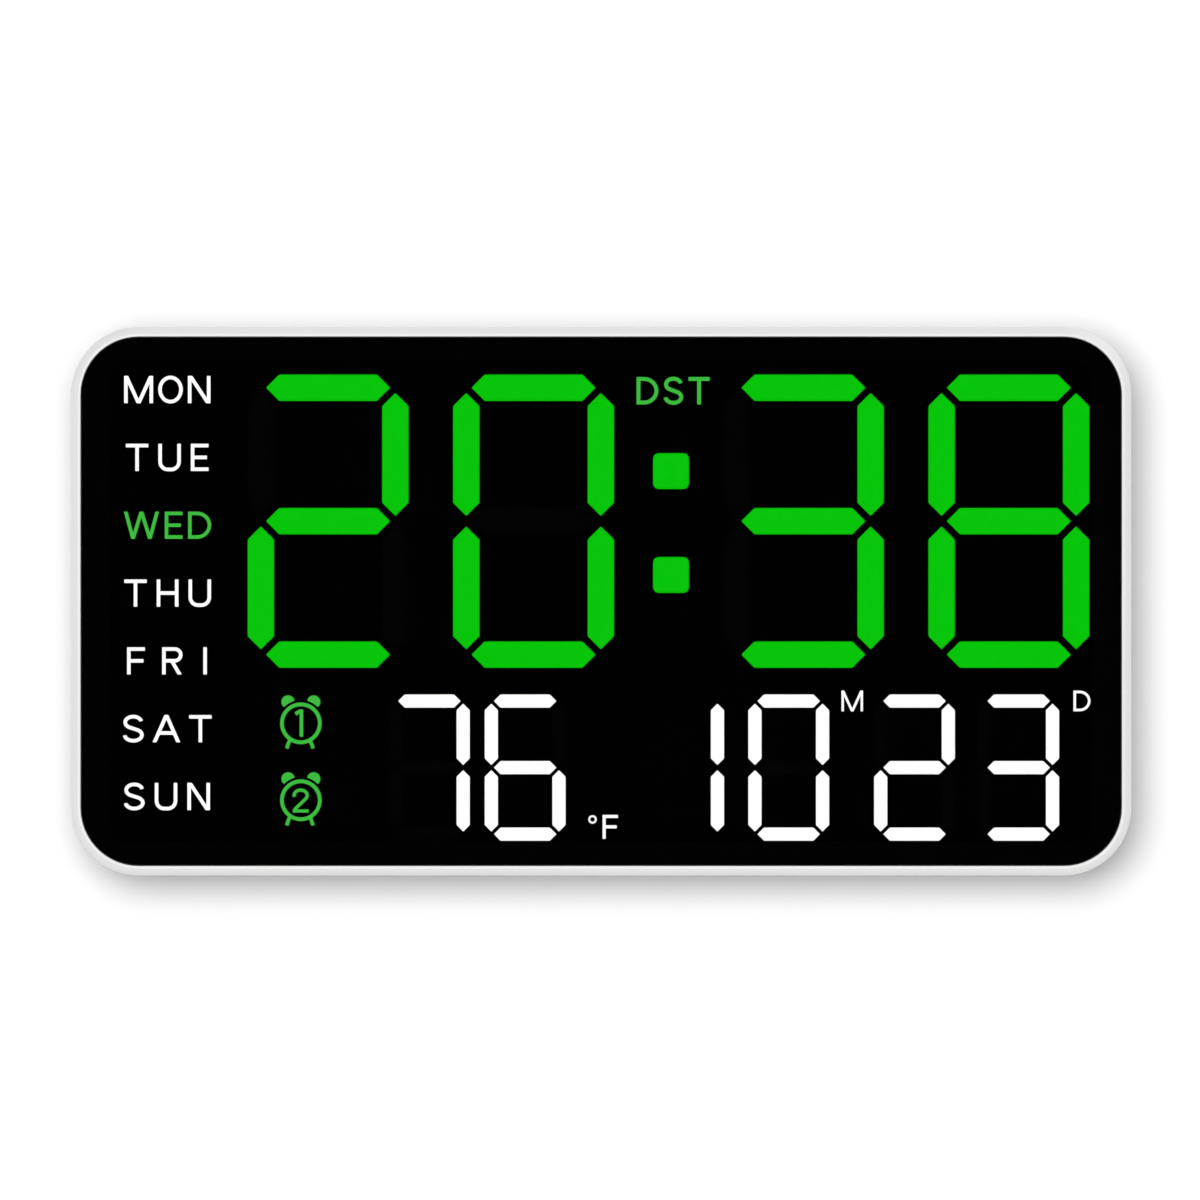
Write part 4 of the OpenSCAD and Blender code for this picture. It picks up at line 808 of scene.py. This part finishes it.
# %% [markdown]
# ## Alarm signs
# Two small alarm clocks show which alarms are set: a ring with two bells, two feet and a number inside. A
# bell is a disc that the ring's outer gap cuts off, so in polar form its far edge is a circle seen from
# outside its middle and its near edge is a constant radius. The photograph's feet sit a little to the left.

# %% Draw an alarm clock
DIAL_RADIUS = 5.7
DIAL_STROKE = 1.02
BELL_NEAR = 6.4
BELL_MIDDLE = 6.8
BELL_RADIUS = 1.82
BELL_TURN = 31
BELL_TRIM = 0.97
BELL_STEPS = 24
FOOT_TOP = (2.78, -4.6)
FOOT_END = (3.62, -6.85)
FOOT_STROKE = 0.98
FOOT_SHIFT = -0.27


def bell(turn):
    """A cut disc. For an angle a from its middle line, its far edge is d cos a + sqrt(r^2 - d^2 sin^2 a),
    where d is how far its middle lies out and r its radius. The last angle stays a little short of where
    that meets the near edge, so that the tips have a width."""
    d, r, near = BELL_MIDDLE, BELL_RADIUS, BELL_NEAR
    last = math.acos((d * d + near * near - r * r) / (2 * d * near)) * BELL_TRIM
    away = np.linspace(-last, last, BELL_STEPS)
    far = d * np.cos(away) + np.sqrt(r * r - (d * np.sin(away)) ** 2)
    angle = away + math.radians(90 + turn)
    way = np.column_stack([np.cos(angle), np.sin(angle)])
    return np.stack([near * way, far[:, None] * way]), False


def foot(side):
    """A short stroke from the ring outwards, at the left (-1) or the right (1)."""
    return stroke([(side * x + FOOT_SHIFT, z) for x, z in (FOOT_TOP, FOOT_END)], FOOT_STROKE)


def alarm_clock():
    """Dial ring, two bells and two feet about the dial's middle."""
    return ring(DIAL_RADIUS, DIAL_STROKE) + [bell(BELL_TURN), bell(-BELL_TURN), foot(-1), foot(1)]

# %% [markdown]
# ## Numbers in the alarm signs
# A stem with a flag makes the one. The two is an arc that runs on in a straight line to its foot, and a beam
# under it. They are few enough to be drawn here and not in the table of capitals.

# %% Light the alarm signs
ALARM_X = -82.14
ALARM_ONE_Z = 41.61
ALARM_TWO_Z = 20.57
ONE_STROKE = 1.0
ONE_LEFT = -0.36
ONE_LOW = -3.65
ONE_HIGH = 3.8
ONE_FLAG = ((-1.5, 2.55), (-0.1, 3.4))
TWO_STROKE = 0.86
TWO_MIDDLE = (-0.06, 1.33)
TWO_RADII = (1.79, 1.46)
TWO_TURN = (195, -38)
TWO_FOOT = (-1.78, -2.58)
TWO_BEAM = (-2.2, 2.1)
TWO_BEAM_Z = -2.93

numeral_one = [bar(ONE_LEFT, ONE_LOW, ONE_LEFT + ONE_STROKE, ONE_HIGH), stroke(ONE_FLAG, ONE_STROKE)]
two_path = np.vstack([arc(*TWO_MIDDLE, *TWO_RADII, *TWO_TURN), [TWO_FOOT]])
numeral_two = [stroke(two_path, TWO_STROKE), beam(*TWO_BEAM, TWO_BEAM_Z, TWO_STROKE)]
lit("alarm_sign_one", moved(alarm_clock() + numeral_one, ALARM_X, ALARM_ONE_Z), True)
lit("alarm_sign_two", moved(alarm_clock() + numeral_two, ALARM_X, ALARM_TWO_Z), True)

# %% [markdown]
# ## Marks on the buttons
# The five buttons on the back carry printed marks: a dial for setting, plus and minus, the alarm clock again,
# and a sun for the dimmer. Each mark rides on its own button, so it moves when the button is pressed. The
# same strokes as on the front make them, a few hundredths of a millimetre high.

# %% Print the button marks
MARK_STROKE = 0.55
MARK_RISE = 0.05 * MM
MARK_SEAT = 0.02 * MM
DIAL_MARK_RADIUS = 2.6
DIAL_HANDS = ((0, 1.5), (0, 0), (-1.2, 0))
SIGN_REACH = 2.0
ALARM_MARK_SHARE = 0.32
SUN_RADIUS = 1.2
SUN_RAYS = 8
RAY_NEAR = 1.7
RAY_FAR = 2.7


def spokes(count, near, far, thick):
    """Short strokes along evenly spread radii."""
    turns = np.radians(np.arange(count) * 360 / count)
    ways = np.column_stack([np.cos(turns), np.sin(turns)])
    return [stroke([near * way, far * way], thick) for way in ways]


def print_on(box, name, strokes, body):
    """Grey print about the middle of a box's rear face."""
    low, high = box
    middle = (low + high) / 2 / MM
    placed = moved(strokes, middle.x, middle.z)
    raised(name, placed, high.y - MARK_SEAT, high.y + MARK_RISE, body, print_grey)


print_grey = moulded_plastic("print_grey", (0.12, 0.12, 0.125), 0.5)
half = MARK_STROKE / 2
dial_mark = ring(DIAL_MARK_RADIUS, MARK_STROKE) + [stroke(DIAL_HANDS, MARK_STROKE)]
minus_mark = [beam(-SIGN_REACH, SIGN_REACH, 0, MARK_STROKE)]
upright = [bar(-half, low, half, high) for low, high in ((-SIGN_REACH, -half), (half, SIGN_REACH))]
plus_mark = minus_mark + upright
alarm_mark = [(edges * ALARM_MARK_SHARE, closed) for edges, closed in alarm_clock()]
sun_mark = ring(SUN_RADIUS, MARK_STROKE) + spokes(SUN_RAYS, RAY_NEAR, RAY_FAR, MARK_STROKE)
for key, mark in zip(KEYS, (dial_mark, plus_mark, minus_mark, alarm_mark, sun_mark)):
    print_on(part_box(key + "_button"), key + "_mark", mark, key + "_key")

# %% [markdown]
# ## Turn arrow on the battery cap
# A printed arc with a head shows which way the cap opens. It rides on the cap, so it turns with it, and it
# lies below the cover's back, because the cap is sunk. Seen from the front the cap opens clockwise.

# %% Print the turn arrow
ARROW_RADIUS = 10.6
ARROW_START = 128
ARROW_NECK = 66
ARROW_TIP = 50
ARROW_HALF_WIDTH = 1.3
ARROW_BLUNT = 0.08


def around_middle(radius, turn):
    """A point at an angle on a circle about the cap's middle."""
    return radius * math.cos(math.radians(turn)), radius * math.sin(math.radians(turn))


def head_edge(side):
    """The outer (1) or inner (-1) edge of the arrow's head, from its neck to its blunt tip."""
    neck = around_middle(ARROW_RADIUS + side * ARROW_HALF_WIDTH, ARROW_NECK)
    return [neck, around_middle(ARROW_RADIUS + side * ARROW_BLUNT, ARROW_TIP)]


shaft = stroke(arc(0, 0, ARROW_RADIUS, ARROW_RADIUS, ARROW_START, ARROW_NECK), MARK_STROKE)
head = np.array([head_edge(1), head_edge(-1)]), False
print_on(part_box("battery_cap"), "cap_arrow", [shaft, head], "battery_door")

# %% [markdown]
# ## Wall and floor
# The clock hangs on a white wall, which shows only its soft shadow. A wall that blocks light and sight would
# hide the back, so this one is seen by the camera alone and only from its front. Its paint is dark, so that
# the room's light hardly fills the shadow, and a lamp of its own and a little glow lift it to white. A pale
# floor lies well below.

# %% Build wall and floor
WALL_GAP = 0.5 * MM
WALL_GLOW = 0.187
WALL_WHITE = 0.08
FLOOR_DROP = 0.45
FLOOR_WHITE = 0.4
FLOOR_GLOW = 0.6
FAR_GLOW = 0.8
FADE_START = 1.0
FADE_END = 5.0
STAGE_LUMP = 0.3
STAGE_TONE = 0.995
HALF_SHEET = 15.0


def hide(thing, rays):
    """Hides a thing from the named kinds of rays."""
    for ray in rays:
        setattr(thing, "visible_" + ray, False)


def flat_sheet(name, middle, across, up, finish):
    """One square face: its middle plus or minus two half sides."""
    corners = [middle - across - up, middle + across - up, middle + across + up, middle - across + up]
    mesh = bpy.data.meshes.new(name)
    mesh.from_pydata(corners, [], [(0, 1, 2, 3)])
    mesh.materials.append(finish)
    sheet = bpy.data.objects.new(name, mesh)
    scene.collection.objects.link(sheet)
    return sheet


def stage_paint(name, white, glow, far_glow):
    """Plain paint with a faint cloud and no back. What looks at it straight, or by mirror or glass, also
    sees a glow, which changes with the distance from the middle."""
    finish = Finish(name)
    distance = finish.add("VectorMath", {0: finish.place}, operation="LENGTH").outputs["Value"]
    faded = finish.between(distance, glow, far_glow, FADE_START, FADE_END)
    cloud = finish.blend(finish.noise(STAGE_LUMP), tint((white,) * 3, STAGE_TONE), tint((white,) * 3, 1.0))
    paint = finish.add("BsdfDiffuse", {"Color": cloud}).outputs["BSDF"]
    strength = finish.math("MULTIPLY", finish.seen(), faded)
    shine = finish.add("Emission", {"Strength": strength}).outputs["Emission"]
    front = finish.add("AddShader", {0: paint, 1: shine}).outputs["Shader"]
    clear = finish.add("BsdfTransparent", {}).outputs["BSDF"]
    behind = finish.add("NewGeometry", {}).outputs["Backfacing"]
    both = finish.add("MixShader", {0: behind, 1: front, 2: clear}).outputs["Shader"]
    finish.feed(finish.tree.nodes["Material Output"].inputs["Surface"], both)
    return finish.material


across = Vector((HALF_SHEET, 0, 0))
wall_paint = stage_paint("wall_paint", WALL_WHITE, WALL_GLOW, WALL_GLOW)
wall_middle = Vector((case_middle.x, case_high.y + WALL_GAP, case_middle.z))
wall = flat_sheet("wall", wall_middle, across, Vector((0, 0, HALF_SHEET)), wall_paint)
hide(wall, ("diffuse", "glossy", "transmission", "shadow"))
floor_paint = stage_paint("floor_paint", FLOOR_WHITE, FLOOR_GLOW, FAR_GLOW)
floor_middle = Vector((case_middle.x, case_middle.y, case_low.z - FLOOR_DROP))
floor = flat_sheet("floor", floor_middle, across, Vector((0, HALF_SHEET, 0)), floor_paint)
hide(floor, ("diffuse", "shadow"))
print("stage:", wall.name, "and", floor.name)

# %% [markdown]
# ## Lamps
# One large soft lamp stands nearly in front, a little up and to the left, so the shadow peeps out at the
# lower right. The wall has a strong lamp of its own beside it, so the depth of the shadow can be set without
# a change to the case. Two weaker lamps behind serve the other views. All are hidden from mirrors and glass,
# or the glossy window would show them.

# %% Set the lamps
# Each row: the lamp's name, the way towards it, its level, and how wide it looks in degrees.
LAMPS = (
    ("key_lamp", (-0.11, -1.0, 0.08), 0.4, 30),
    ("wall_lamp", (-0.105, -1.0, 0.115), 9.4, 34),
    ("rear_lamp", (0.9, 1.0, 1.1), 0.54, 10),
    ("rear_fill", (-0.9, 1.0, 0.3), 0.26, 20),
)


def soft_lamp(name, towards, level, width):
    """A far lamp: a face that looks straight at it gets as bright as the level times the face's colour."""
    lamp = bpy.data.objects.new(name, bpy.data.lights.new(name, "SUN"))
    lamp.data.energy = level * math.pi
    lamp.data.angle = math.radians(width)
    lamp.rotation_euler = (-Vector(towards)).to_track_quat("-Z", "Y").to_euler()
    hide(lamp, ("glossy", "transmission"))
    scene.collection.objects.link(lamp)
    return lamp


lamps = {row[0]: soft_lamp(*row) for row in LAMPS}
wall_only = bpy.data.collections.new("wall_only")
wall_only.objects.link(wall)
lamps["wall_lamp"].light_linking.receiver_collection = wall_only
print("lamps:", ", ".join(lamps))

# %% [markdown]
# ## Black card and surroundings
# A glossy window mirrors whatever stands before it. A black card behind the camera keeps it dark, as
# photographers do. The rest is an even white room to the eye. Even light would make all sides of the case
# alike, so the light that the room gives is strongest from the front, and a little stronger from below and
# from the right than from above and from the left.

# %% Hang the card and light the room
CARD_DISTANCE = 10.0
CARD_HALF = 0.45
SKY_LEVEL = 0.405
SKY_SLOPE = (0.05, -0.25, -0.06)

card_black = Finish("card_black").shade({"Base Color": (0, 0, 0, 1), "Specular IOR Level": 0})
card_middle = Vector((case_middle.x, case_low.y - CARD_DISTANCE, case_middle.z))
card = flat_sheet("black_card", card_middle, Vector((0, 0, CARD_HALF)), Vector((CARD_HALF, 0, 0)), card_black)
hide(card, ("camera", "diffuse", "shadow"))

scene.world = bpy.data.worlds.new("surroundings")
scene.world.use_nodes = True
sky = NodeChain(scene.world.node_tree)
way = sky.add("TexCoord", {}).outputs["Generated"]
slope = sky.add("VectorMath", {0: way, 1: SKY_SLOPE}, operation="DOT_PRODUCT").outputs["Value"]
level = sky.math("ADD", slope, SKY_LEVEL)
backdrop = sky.tree.nodes["Background"]
sky.feed(backdrop.inputs["Color"], (1, 1, 1, 1))
sky.feed(backdrop.inputs["Strength"], sky.math("MAXIMUM", level, sky.seen()))
print("card and", scene.world.name)
